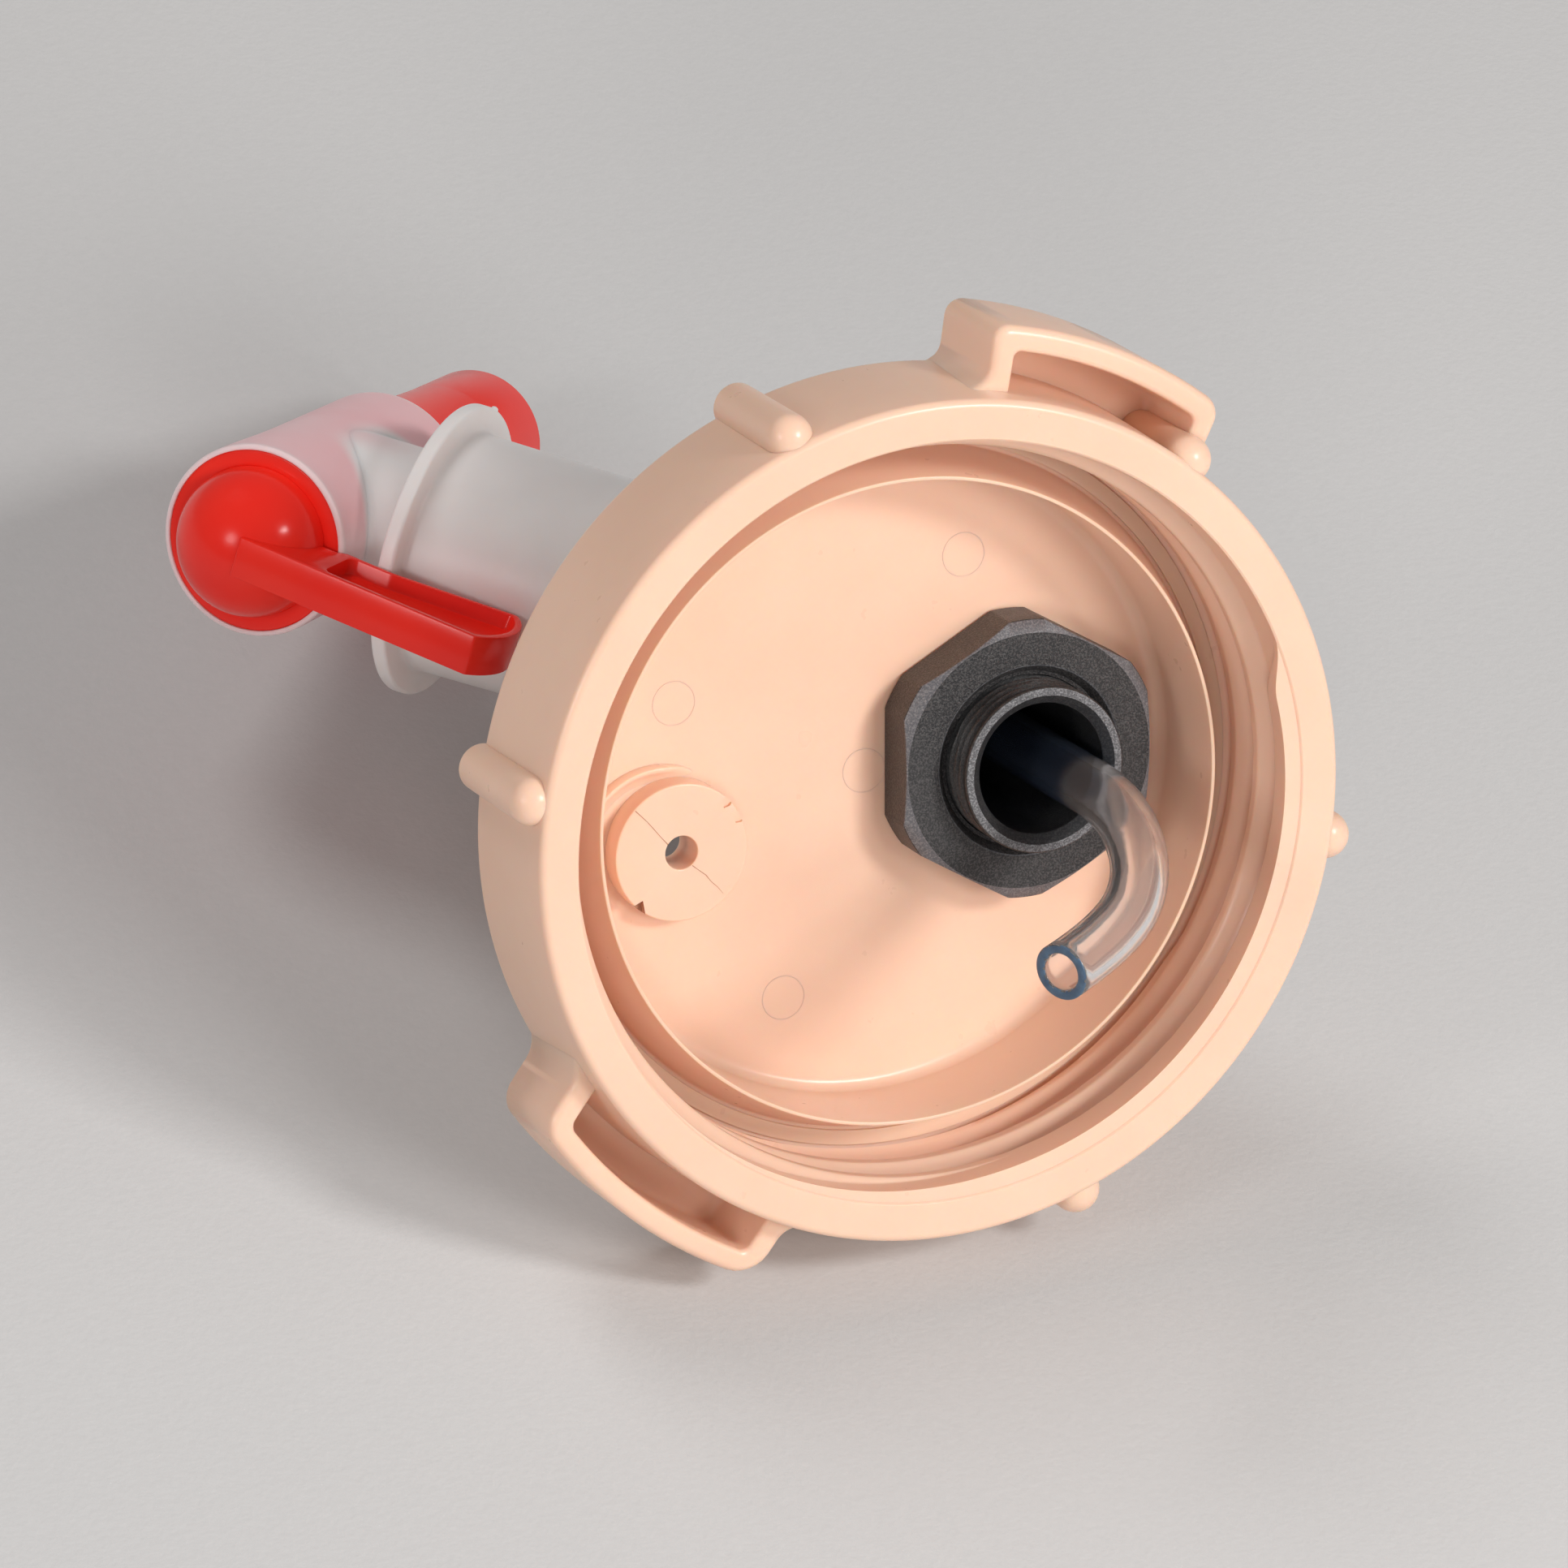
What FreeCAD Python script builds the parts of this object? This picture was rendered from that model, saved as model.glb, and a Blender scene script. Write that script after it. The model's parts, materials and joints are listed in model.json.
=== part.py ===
import FreeCAD, Part
import math
import os
import re

import Sketcher

# Wide-mouth container lid with a lever tap.
#
# The lid is modelled about its own axis: Z is the screw axis and points out of the mouth, and z = 0 is the
# skirt's front edge.  Behind the plate a nipple and a 45 degree elbow carry the tap.  The tap is modelled
# about its barrel: X points up the neck to the inlet, Z points to the domed head, the origin is where the
# neck's axis meets the barrel's axis.  Last, everything is laid on the floor together.

Vector = FreeCAD.Vector
ORIGIN = Vector(0, 0, 0)
X_DIR = Vector(1, 0, 0)
Y_DIR = Vector(0, 1, 0)
Z_DIR = Vector(0, 0, 1)

doc = FreeCAD.newDocument("lever_tap_lid")

# ---------------------------------------------------------------------------------------------------------
# Driving dimensions, millimetres and degrees
# ---------------------------------------------------------------------------------------------------------
SIZES = [
    # skirt and sealing wall of the lid
    ("rim_radius", 66.0),           # outside of the skirt at its front edge
    ("skirt_back_radius", 66.8),    # outside of the skirt at its back edge
    ("skirt_height", 24.0),
    ("mouth_radius", 59.8),         # root of the skirt's inner thread
    ("skirt_round", 1.2),           # rounding of the skirt's front edge
    ("back_round", 2.5),            # rounding of the skirt's back edge
    ("groove_floor", 20.9),         # depth of the groove that takes the container's neck
    ("wall_top", 12.5),             # depth of the sealing wall's front edge
    ("wall_inner_radius", 50.5),
    ("wall_thickness", 2.9),
    ("wall_draft", 1.2),            # how much narrower the sealing wall's inside is at its foot
    ("plate_depth", 30.8),          # depth of the plate's front face
    ("plate_thickness", 3.0),
    ("foot_round", 4.2),            # concave rounding where the sealing wall meets the plate
    # grip ribs and strap loops
    ("rib_radius", 3.75),
    ("rib_circle", 66.6),
    ("rib_set_back", 0.4),          # rib's rounded end behind the front edge
    ("rib_first_angle", 57.6),
    ("loop_radius", 76.2),
    ("loop_wall", 4.2),
    ("loop_root_radius", 67.0),     # inner side of a loop's opening
    ("loop_front", 5.6),            # depth of a loop's front face
    ("loop_corner", 4.0),
    ("upper_loop_start", -3.5),
    ("upper_loop_end", 27.5),
    ("lower_loop_start", 161.8),
    ("lower_loop_end", 193.5),
    # vent boss on the plate
    ("boss_x", -25.4),
    ("boss_y", 21.0),
    ("boss_radius", 10.9),
    ("boss_height", 4.2),
    ("boss_hole_radius", 2.65),
    # gasket in the groove
    ("gasket_thickness", 2.5),
    ("gasket_gap", 0.3),
    # nipple, nut, washer
    ("pipe_x", 15.45),
    ("pipe_y", -18.25),
    ("pipe_heading", 36.5),         # direction round the lid of one corner of the nut
    ("pipe_radius", 13.2),          # three-quarter inch pipe thread, 26.4 across
    ("pipe_bore_radius", 10.35),
    ("pipe_front", 16.0),           # depth of the nipple's cut end behind the skirt's front edge
    ("pipe_hole_gap", 0.3),
    ("thread_gap", 0.05),
    ("nut_flats", 41.0),
    ("nut_height", 9.0),
    ("nut_round_radius", 22.2),     # radius of the turned front of the nut
    ("nut_sink_radius", 14.9),
    ("nut_sink_depth", 1.6),
    ("washer_radius", 20.0),
    ("washer_thickness", 2.5),
    # elbow
    ("bend_depth", 64.0),           # depth of the point where the two pipe axes meet
    ("elbow_turn", 45.0),
    ("elbow_heading", 112.0),       # direction round the lid in which the elbow leans
    ("elbow_bend_radius", 26.0),
    ("elbow_radius", 15.0),
    ("socket_radius", 17.5),
    ("socket_depth", 12.0),
    ("collar_radius", 20.0),
    ("collar_thickness", 4.0),
    ("spigot_length", 20.0),        # how far the spigot reaches into the shank
    ("spigot_gap", 0.15),
    ("ring_section_radius", 1.0),
    ("ring_first", 5.0),            # first seal ring behind the shank's end
    ("ring_spacing", 8.5),
    ("ring_groove_width", 2.6),
    ("stop_width", 4.0),            # collar that stops the spigot at the shank's end
    # tap
    ("tap_reach", 83.8),            # from the bend to the tap's flange
    ("tap_roll", 7.0),              # turn of the tap about its shank
    ("barrel_radius", 14.95),
    ("barrel_half", 24.8),
    ("barrel_bore_radius", 12.55),
    ("head_seat_radius", 14.2),
    ("head_seat_depth", 2.6),
    ("neck_radius", 14.5),
    ("neck_bore_radius", 10.0),
    ("flange_offset", 20.8),        # from the barrel's axis to the flange
    ("flange_radius", 23.7),
    ("flange_thickness", 2.6),
    ("shank_radius", 19.5),
    ("shank_end_radius", 18.9),
    ("shank_length", 43.0),
    ("shank_bore_radius", 16.6),
    ("neck_shoulder", 4.0),         # where the shank's bore narrows, past the flange
    ("tap_rounding", 0.5),
    # plug
    ("plug_gap", 0.06),             # running clearance in the barrel
    ("head_gap", 0.15),
    ("dome_radius", 12.0),
    ("spout_end_radius", 11.6),
    ("spout_length", 38.5),         # how far the spout stands out of the barrel
    ("spout_straight", 15.0),       # parallel length at the spout's end
    ("spout_bore_radius", 9.6),
    ("spout_bore_top", 11.0),
    ("port_radius", 8.2),
    ("snap_height", 0.45),
    ("snap_width", 1.6),
    ("lever_reach", 43.0),
    ("lever_set", 6.1),             # angle of the lever from the neck
    ("lever_above", 3.9),
    ("lever_below", 2.7),
    ("lever_root_width", 12.7),
    ("lever_end_width", 17.0),
    ("lever_widens_at", 23.8),
    ("lever_corner", 5.5),
    ("lever_far_corner", 3.0),
    ("lever_clearance", 0.5),       # between the lever and the barrel's end and side
    ("tray_wall", 1.2),
    ("tray_depth", 2.5),
    ("tray_start", 16.5),
    # vent tube holder
    ("holder_thickness", 3.0),
    ("holder_rim", 2.2),
    ("hub_radius", 5.0),
    ("holder_gap", 0.05),
    ("barb_length", 9.0),
    ("barb_bore_radius", 1.8),
    ("spoke_width", 2.0),
    # vent tube
    ("tube_radius", 4.5),
    ("tube_bore_radius", 3.0),
    # how it lies on the floor
    ("rest_spin", 39.48),
    ("rest_lean", 24.39),
]

dims = doc.addObject("Spreadsheet::Sheet", "Dims")
for row, (alias, value) in enumerate(SIZES, start=1):
    dims.set("A%d" % row, alias)
    dims.set("B%d" % row, str(value))
    dims.setAlias("B%d" % row, alias)
doc.recompute()


def bound(expression):
    """The expression with each size name pointed at the sheet."""
    names = {alias for alias, value in SIZES}
    return re.sub(r"[a-z_]+", lambda m: "Dims." + m.group() if m.group() in names else m.group(), expression)


def size(expression):
    """The number that an expression of size names gives now."""
    result = dims.evalExpression(bound(expression))
    return float(getattr(result, "Value", result))


# ---------------------------------------------------------------------------------------------------------
# Helpers for bodies, sketches and features
# ---------------------------------------------------------------------------------------------------------
def new_body(label):
    body = doc.addObject("PartDesign::Body", label)
    body.Label = label
    return body


def origin_plane(body, role):
    return next(item for item in body.Origin.OriginFeatures if item.Role == role)


def new_sketch(body, name, role, height=None):
    """A sketch on one of the body's own planes, raised along the plane's normal by an expression."""
    sketch = body.newObject("Sketcher::SketchObject", name)
    sketch.AttachmentSupport = [(origin_plane(body, role), "")]
    sketch.MapMode = "FlatFace"
    if height is not None:
        sketch.setExpression("AttachmentOffset.Base.z", bound(height))
    return sketch


def pin_point(sketch, element, point, at):
    """Ties one sketch point to a pair of expressions, measured from the sketch's origin."""
    for kind, expression in zip(("DistanceX", "DistanceY"), at):
        index = sketch.addConstraint(Sketcher.Constraint(kind, -1, 1, element, point, size(expression)))
        sketch.setExpression("Constraints[%d]" % index, bound(expression))


def add_outline(sketch, corners):
    """A closed outline of straight runs, each corner a pair of expressions."""
    first = sketch.GeometryCount
    count = len(corners)
    places = [Vector(size(x), size(y), 0) for x, y in corners]
    for number in range(count):
        run = Part.LineSegment(places[number], places[(number + 1) % count])
        sketch.addGeometry(run, False)
    for number in range(count):
        following = first + (number + 1) % count
        sketch.addConstraint(Sketcher.Constraint("Coincident", first + number, 2, following, 1))
        pin_point(sketch, first + number, 1, corners[number])


def add_circle(sketch, radius, at=("0", "0")):
    """A circle whose radius and centre are expressions."""
    centre = Vector(size(at[0]), size(at[1]), 0)
    number = sketch.addGeometry(Part.Circle(centre, Z_DIR, size(radius)), False)
    index = sketch.addConstraint(Sketcher.Constraint("Radius", number, size(radius)))
    sketch.setExpression("Constraints[%d]" % index, bound(radius))
    pin_point(sketch, number, 3, at)


def revolve(body, name, role, corners, axis, cut=False):
    """A turned form, or a turned cut: an outline carried once round one axis of its sketch."""
    sketch = new_sketch(body, name + "_profile", role)
    add_outline(sketch, corners)
    feature = body.newObject("PartDesign::Groove" if cut else "PartDesign::Revolution", name)
    feature.Profile = sketch
    feature.ReferenceAxis = (sketch, [axis])
    feature.Angle = 360
    sketch.Visibility = False
    doc.recompute()
    return feature


def pad(body, name, sketch, length, reverse=False, other_way=None):
    feature = body.newObject("PartDesign::Pad", name)
    feature.Profile = sketch
    if other_way is not None:
        feature.SideType = "Two sides"
        feature.setExpression("Length2", bound(other_way))
    feature.setExpression("Length", bound(length))
    feature.Reversed = reverse
    doc.recompute()
    return feature


def pocket(body, name, sketch, length, reverse=False):
    """A cut from a sketch; it stops the build when it removes nothing."""
    before = body.Shape.Volume
    feature = body.newObject("PartDesign::Pocket", name)
    feature.Profile = sketch
    feature.setExpression("Length", bound(length))
    feature.Reversed = reverse
    doc.recompute()
    if body.Shape.Volume > before - 1e-3:
        raise RuntimeError(name + " cuts nothing")
    return feature


def dress(body, name, kind, chosen, amount):
    """A fillet or chamfer on the edges that the test picks from the body's last feature."""
    last = body.Tip
    names = ["Edge%d" % (n + 1) for n, edge in enumerate(last.Shape.Edges) if chosen(edge)]
    if not names:
        raise RuntimeError(name + " finds no edge")
    feature = body.newObject("PartDesign::" + kind, name)
    feature.Base = (last, names)
    feature.setExpression("Radius" if kind == "Fillet" else "Size", bound(amount))
    doc.recompute()
    return feature


def round_edge(radius, height, axis=2):
    """A test for whole circular edges of one radius at one height along an axis through the origin."""
    def chosen(edge):
        box = edge.BoundBox
        low = (box.XMin, box.YMin, box.ZMin)[axis]
        high = (box.XMax, box.YMax, box.ZMax)[axis]
        flat = abs(low - size(height)) < 1e-3 and abs(high - size(height)) < 1e-3
        return flat and abs(box.DiagonalLength - size(radius) * 2 * math.sqrt(2)) < 1e-2
    return chosen


def is_straight(edge):
    ends = edge.Vertexes
    return len(ends) == 2 and abs(edge.Length - ends[0].Point.distanceToPoint(ends[1].Point)) < 1e-6


def add_sector(sketch, inner, outer, start, end):
    """A ring sector about the sketch's origin: two arcs and the two radial runs between them."""
    corners = [(radius, angle) for radius, angle in ((inner, start), (outer, start), (outer, end), (inner, end))]
    at = [("(%s) * cos((%s) * 1deg)" % corner, "(%s) * sin((%s) * 1deg)" % corner) for corner in corners]
    places = [Vector(size(x), size(y), 0) for x, y in at]
    angles = (math.radians(size(start)), math.radians(size(end)))
    first = sketch.GeometryCount
    sketch.addGeometry(Part.LineSegment(places[0], places[1]), False)
    sketch.addGeometry(Part.ArcOfCircle(Part.Circle(ORIGIN, Z_DIR, size(outer)), *angles), False)
    sketch.addGeometry(Part.LineSegment(places[2], places[3]), False)
    sketch.addGeometry(Part.ArcOfCircle(Part.Circle(ORIGIN, Z_DIR, size(inner)), *angles), False)
    joints = [(0, 2, 1, 1), (1, 2, 2, 1), (2, 2, 3, 2), (3, 1, 0, 1)]
    for one, one_end, other, other_end in joints:
        sketch.addConstraint(Sketcher.Constraint("Coincident", first + one, one_end, first + other, other_end))
    for number, radius in ((1, outer), (3, inner)):
        index = sketch.addConstraint(Sketcher.Constraint("Radius", first + number, size(radius)))
        sketch.setExpression("Constraints[%d]" % index, bound(radius))
    for element, point, corner in ((0, 1, 0), (0, 2, 1), (2, 1, 2), (2, 2, 3)):
        pin_point(sketch, first + element, point, at[corner])


def add_solid(body, name, kind, at, **measures):
    """An additive or subtractive primitive, its place and measures given by expressions."""
    feature = body.newObject("PartDesign::" + kind, name)
    feature.AttachmentSupport = [(origin_plane(body, "XY_Plane"), "")]
    feature.MapMode = "FlatFace"
    for axis, expression in zip("xyz", at):
        feature.setExpression("AttachmentOffset.Base." + axis, bound(expression))
    for measure, expression in measures.items():
        feature.setExpression(measure, bound(expression))
    doc.recompute()
    return feature


def polar_pattern(body, name, originals, count, axis="Z_Axis"):
    feature = body.newObject("PartDesign::PolarPattern", name)
    feature.Originals = originals
    feature.Axis = (origin_plane(body, axis), [""])
    feature.Angle = 360
    feature.Occurrences = count
    body.Tip = feature
    doc.recompute()
    return feature


# ---------------------------------------------------------------------------------------------------------
# Placements
# ---------------------------------------------------------------------------------------------------------
def turned(axis, angle):
    return FreeCAD.Placement(ORIGIN, FreeCAD.Rotation(axis, angle))


def moved(x, y, z):
    return FreeCAD.Placement(Vector(x, y, z), FreeCAD.Rotation())


# The elbow's own frame: origin where the two pipe axes meet, Z up the nipple, X the way the elbow leans.
elbow_place = moved(size("pipe_x"), size("pipe_y"), size("-bend_depth"))
elbow_place = elbow_place.multiply(turned(Z_DIR, size("elbow_heading")))

# The tap's own frame: X runs from the barrel back along the shank to the bend.
tap_place = elbow_place.multiply(turned(Y_DIR, size("90 - elbow_turn")))
tap_place = tap_place.multiply(moved(size("tap_reach + flange_offset"), 0, 0))
tap_place = tap_place.multiply(turned(Z_DIR, 180))
tap_place = tap_place.multiply(turned(X_DIR, size("tap_roll")))


# ---------------------------------------------------------------------------------------------------------
# Lid
# ---------------------------------------------------------------------------------------------------------
def add_loop(body, name, start, end):
    """A strap loop: a band round a sector of the skirt, open from front to back."""
    inset = "loop_wall / loop_radius * 180 / pi"
    outside = new_sketch(body, name + "_outside", "XY_Plane", "-skirt_height")
    add_sector(outside, "mouth_radius + 4", "loop_radius", start, end)
    pad(body, name + "_band", outside, "skirt_height - loop_front")

    def outer_corner(edge):
        on_outside = all(abs(math.hypot(v.X, v.Y) - size("loop_radius")) < 1e-3 for v in edge.Vertexes)
        angle = math.degrees(math.atan2(edge.CenterOfMass.y, edge.CenterOfMass.x)) % 360
        near = min(abs(angle - size(start) % 360), abs(angle - size(end) % 360))
        return is_straight(edge) and on_outside and near < 1
    dress(body, name + "_corners", "Fillet", outer_corner, "loop_corner")

    opening = new_sketch(body, name + "_opening", "XY_Plane", "-loop_front")
    add_sector(opening, "loop_root_radius", "loop_radius - loop_wall", "%s + %s" % (start, inset),
               "%s - %s" % (end, inset))
    pocket(body, name + "_way_through", opening, "skirt_height")

    def band_front(edge):
        middle = edge.CenterOfMass
        at_front = abs(edge.BoundBox.ZMin + size("loop_front")) < 1e-3 and edge.BoundBox.ZLength < 1e-3
        outside_skirt = math.hypot(middle.x, middle.y) > size("loop_root_radius") + 1
        angle = math.degrees(math.atan2(middle.y, middle.x)) % 360
        inside = (angle - size(start)) % 360 < size(end) - size(start) + 2
        return at_front and outside_skirt and inside
    dress(body, name + "_front_rounding", "Fillet", band_front, "loop_wall * 0.3")


def make_lid():
    """The moulded lid: a turned shell, ribs and loops outside the skirt, boss and bores in the plate."""
    body = new_body("lid_cap")
    wall_outer = "wall_inner_radius + wall_thickness"
    profile = [
        ("0", "-plate_depth - plate_thickness"),
        (wall_outer, "-plate_depth - plate_thickness"),
        (wall_outer, "-skirt_height"),
        ("skirt_back_radius", "-skirt_height"),
        ("rim_radius", "0"),
        ("mouth_radius", "0"),
        ("mouth_radius", "-groove_floor"),
        (wall_outer, "-groove_floor"),
        (wall_outer, "-wall_top"),
        ("wall_inner_radius", "-wall_top"),
        ("wall_inner_radius - wall_draft", "-plate_depth"),
        ("0", "-plate_depth"),
    ]
    revolve(body, "shell", "XZ_Plane", profile, "V_Axis")
    dress(body, "foot", "Fillet", round_edge("wall_inner_radius - wall_draft", "-plate_depth"), "foot_round")
    fronts = [round_edge("rim_radius", "0"), round_edge("mouth_radius", "0")]
    dress(body, "front_rounding", "Fillet", lambda edge: any(test(edge) for test in fronts), "skirt_round")
    backs = [round_edge("skirt_back_radius", "-skirt_height"),
             round_edge(wall_outer, "-plate_depth - plate_thickness")]
    dress(body, "back_rounding", "Fillet", lambda edge: any(test(edge) for test in backs), "back_round")
    wall_fronts = [round_edge("wall_inner_radius", "-wall_top"), round_edge(wall_outer, "-wall_top")]
    dress(body, "wall_front_rounding", "Fillet", lambda edge: any(test(edge) for test in wall_fronts),
          "wall_thickness * 0.3")

    add_loop(body, "upper_loop", "upper_loop_start", "upper_loop_end")
    add_loop(body, "lower_loop", "lower_loop_start", "lower_loop_end")

    # Grip ribs: one upright round rib with a ball end, repeated six times
    rib_at = ("rib_circle * cos(rib_first_angle * 1deg)", "rib_circle * sin(rib_first_angle * 1deg)")
    stem = add_solid(body, "rib_stem", "AdditiveCylinder", rib_at + ("-skirt_height",), Radius="rib_radius",
                     Height="skirt_height - rib_radius - rib_set_back")
    ball = add_solid(body, "rib_ball", "AdditiveSphere", rib_at + ("-rib_radius - rib_set_back",),
                     Radius="rib_radius")
    polar_pattern(body, "ribs", [stem, ball], 6)

    boss = new_sketch(body, "boss_outline", "XY_Plane", "-plate_depth - plate_thickness * 0.5")
    add_circle(boss, "boss_radius", ("boss_x", "boss_y"))
    pad(body, "boss", boss, "boss_height + plate_thickness * 0.5")
    boss_hole = new_sketch(body, "boss_hole_outline", "XY_Plane", "-plate_depth + boss_height")
    add_circle(boss_hole, "boss_hole_radius", ("boss_x", "boss_y"))
    pocket(body, "boss_hole", boss_hole, "boss_height + plate_thickness * 2")
    pipe_hole = new_sketch(body, "pipe_hole_outline", "XY_Plane", "-plate_depth")
    add_circle(pipe_hole, "pipe_radius + pipe_hole_gap", ("pipe_x", "pipe_y"))
    pocket(body, "pipe_hole", pipe_hole, "plate_thickness * 2")
    return body


def make_gasket():
    """Flat ring on the groove's floor, between the sealing wall and the skirt."""
    body = new_body("lid_gasket")
    inner = "wall_inner_radius + wall_thickness + gasket_gap"
    outer = "mouth_radius - gasket_gap"
    top = "-groove_floor + gasket_thickness"
    profile = [(inner, "-groove_floor"), (outer, "-groove_floor"), (outer, top), (inner, top)]
    revolve(body, "ring", "XZ_Plane", profile, "V_Axis")
    return body


# ---------------------------------------------------------------------------------------------------------
# Pipe through the lid: modelled about the pipe's axis, heights as in the lid
# ---------------------------------------------------------------------------------------------------------
WASHER_BACK = "-plate_depth - plate_thickness - washer_thickness"


def make_nipple():
    """Threaded pipe from its cut end in the lid to the bottom of the elbow's socket."""
    body = new_body("threaded_nipple")
    back = WASHER_BACK + " - collar_thickness - socket_depth"
    profile = [("pipe_bore_radius", back), ("pipe_radius", back), ("pipe_radius", "-pipe_front"),
               ("pipe_bore_radius", "-pipe_front")]
    revolve(body, "pipe", "XZ_Plane", profile, "V_Axis")
    ends = [round_edge("pipe_radius", "-pipe_front"), round_edge("pipe_radius", back)]
    dress(body, "end_chamfers", "Chamfer", lambda edge: any(test(edge) for test in ends), "0.6")
    return body


def make_nut():
    """Hexagon nut with a turned front and a sunk bore, flat on the lid's plate."""
    body = new_body("lock_nut")
    outline = new_sketch(body, "hexagon", "XY_Plane", "-plate_depth")
    across = "nut_flats / sqrt(3)"
    turns = ["%d + pipe_heading" % (60 * number) for number in range(6)]
    corners = [("%s * cos((%s) * 1deg)" % (across, turn), "%s * sin((%s) * 1deg)" % (across, turn))
               for turn in turns]
    add_outline(outline, corners)
    pad(body, "block", outline, "nut_height")
    front = "-plate_depth + nut_height"
    corner = "nut_flats / sqrt(3) + 2"
    turned_front = [("nut_round_radius", front + " + 1"), ("nut_round_radius", front), (corner, front + " - 4"),
                    (corner, front + " + 1")]
    revolve(body, "turned_front", "XZ_Plane", turned_front, "V_Axis", cut=True)
    turned_back = [("nut_round_radius", "-plate_depth - 1"), (corner, "-plate_depth - 1"),
                   (corner, "-plate_depth + 2"), ("nut_round_radius", "-plate_depth")]
    revolve(body, "turned_back", "XZ_Plane", turned_back, "V_Axis", cut=True)
    bore = new_sketch(body, "bore_outline", "XY_Plane", front)
    add_circle(bore, "pipe_radius + thread_gap")
    pocket(body, "bore", bore, "nut_height * 2")
    sink = new_sketch(body, "sink_outline", "XY_Plane", front)
    add_circle(sink, "nut_sink_radius")
    pocket(body, "sink", sink, "nut_sink_depth")
    return body


def make_washer():
    """Soft flat washer between the lid's plate and the elbow's collar."""
    body = new_body("seal_washer")
    inner = "pipe_radius + pipe_hole_gap"
    front = "-plate_depth - plate_thickness"
    profile = [(inner, WASHER_BACK), ("washer_radius", WASHER_BACK), ("washer_radius", front), (inner, front)]
    revolve(body, "ring", "XZ_Plane", profile, "V_Axis")
    return body


# ---------------------------------------------------------------------------------------------------------
# Elbow: modelled about the bend, Z up the nipple, the outlet leg leaning from Z towards X
# ---------------------------------------------------------------------------------------------------------
COLLAR_FRONT = "bend_depth - plate_depth - plate_thickness - washer_thickness"
SOCKET_FLOOR = COLLAR_FRONT + " - collar_thickness - socket_depth"
SHANK_END = "tap_reach - flange_thickness - shank_length"


def outlet_point(along, across):
    """A point of the elbow's XZ plane, given along the outlet leg from the bend and across it."""
    turn = "elbow_turn * 1deg"
    x = "(%s) * sin(%s) + (%s) * cos(%s)" % (along, turn, across, turn)
    z = "-(%s) * cos(%s) + (%s) * sin(%s)" % (along, turn, across, turn)
    return x, z


def add_route(body, name, top, tip):
    """The passage's centre line: down the nipple's axis, round the bend, out along the outlet leg."""
    sketch = new_sketch(body, name, "XZ_Plane")
    setback = "elbow_bend_radius * tan(elbow_turn * 0.5deg)"
    ends = [("0", top), ("0", setback), outlet_point(setback, "0"), outlet_point(tip, "0")]
    places = [Vector(size(x), size(z), 0) for x, z in ends]
    centre = Vector(size("elbow_bend_radius"), size(setback), 0)
    sweep = (math.pi, math.pi + math.radians(size("elbow_turn")))
    sketch.addGeometry(Part.LineSegment(places[0], places[1]), False)
    sketch.addGeometry(Part.ArcOfCircle(Part.Circle(centre, Z_DIR, size("elbow_bend_radius")), *sweep), False)
    sketch.addGeometry(Part.LineSegment(places[2], places[3]), False)
    sketch.addConstraint(Sketcher.Constraint("Coincident", 0, 2, 1, 1))
    sketch.addConstraint(Sketcher.Constraint("Coincident", 1, 2, 2, 1))
    index = sketch.addConstraint(Sketcher.Constraint("Radius", 1, size("elbow_bend_radius")))
    sketch.setExpression("Constraints[%d]" % index, bound("elbow_bend_radius"))
    for element, point, at in ((0, 1, ends[0]), (0, 2, ends[1]), (2, 1, ends[2]), (2, 2, ends[3])):
        pin_point(sketch, element, point, at)
    return sketch


def sweep_circle(body, name, kind, radius, top, tip):
    """A round pipe, added or cut, along the passage's centre line."""
    ring = new_sketch(body, name + "_section", "XY_Plane", top)
    add_circle(ring, radius)
    feature = body.newObject("PartDesign::" + kind, name)
    feature.Profile = ring
    feature.Spine = add_route(body, name + "_route", top, tip)
    body.Tip = feature
    doc.recompute()
    return feature


def turn_on_outlet(body, name, spans, cut=False):
    """A form turned about the outlet leg: (along, along, radius, radius) from the inner to the outer side."""
    start, end, inner, outer = spans
    sketch = new_sketch(body, name + "_profile", "XZ_Plane")
    far = [Vector(size(x), size(z), 0) for x, z in (("0", "0"), outlet_point("100", "0"))]
    sketch.addGeometry(Part.LineSegment(*far), True)
    pin_point(sketch, 0, 1, ("0", "0"))
    pin_point(sketch, 0, 2, outlet_point("100", "0"))
    add_outline(sketch, [outlet_point(start, inner), outlet_point(end, inner), outlet_point(end, outer),
                         outlet_point(start, outer)])
    feature = body.newObject("PartDesign::Groove" if cut else "PartDesign::Revolution", name)
    feature.Profile = sketch
    feature.ReferenceAxis = (sketch, ["Axis0"])
    feature.Angle = 360
    doc.recompute()
    return feature


def ring_middle(number):
    return SHANK_END + " + ring_first + %d * ring_spacing" % number


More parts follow.
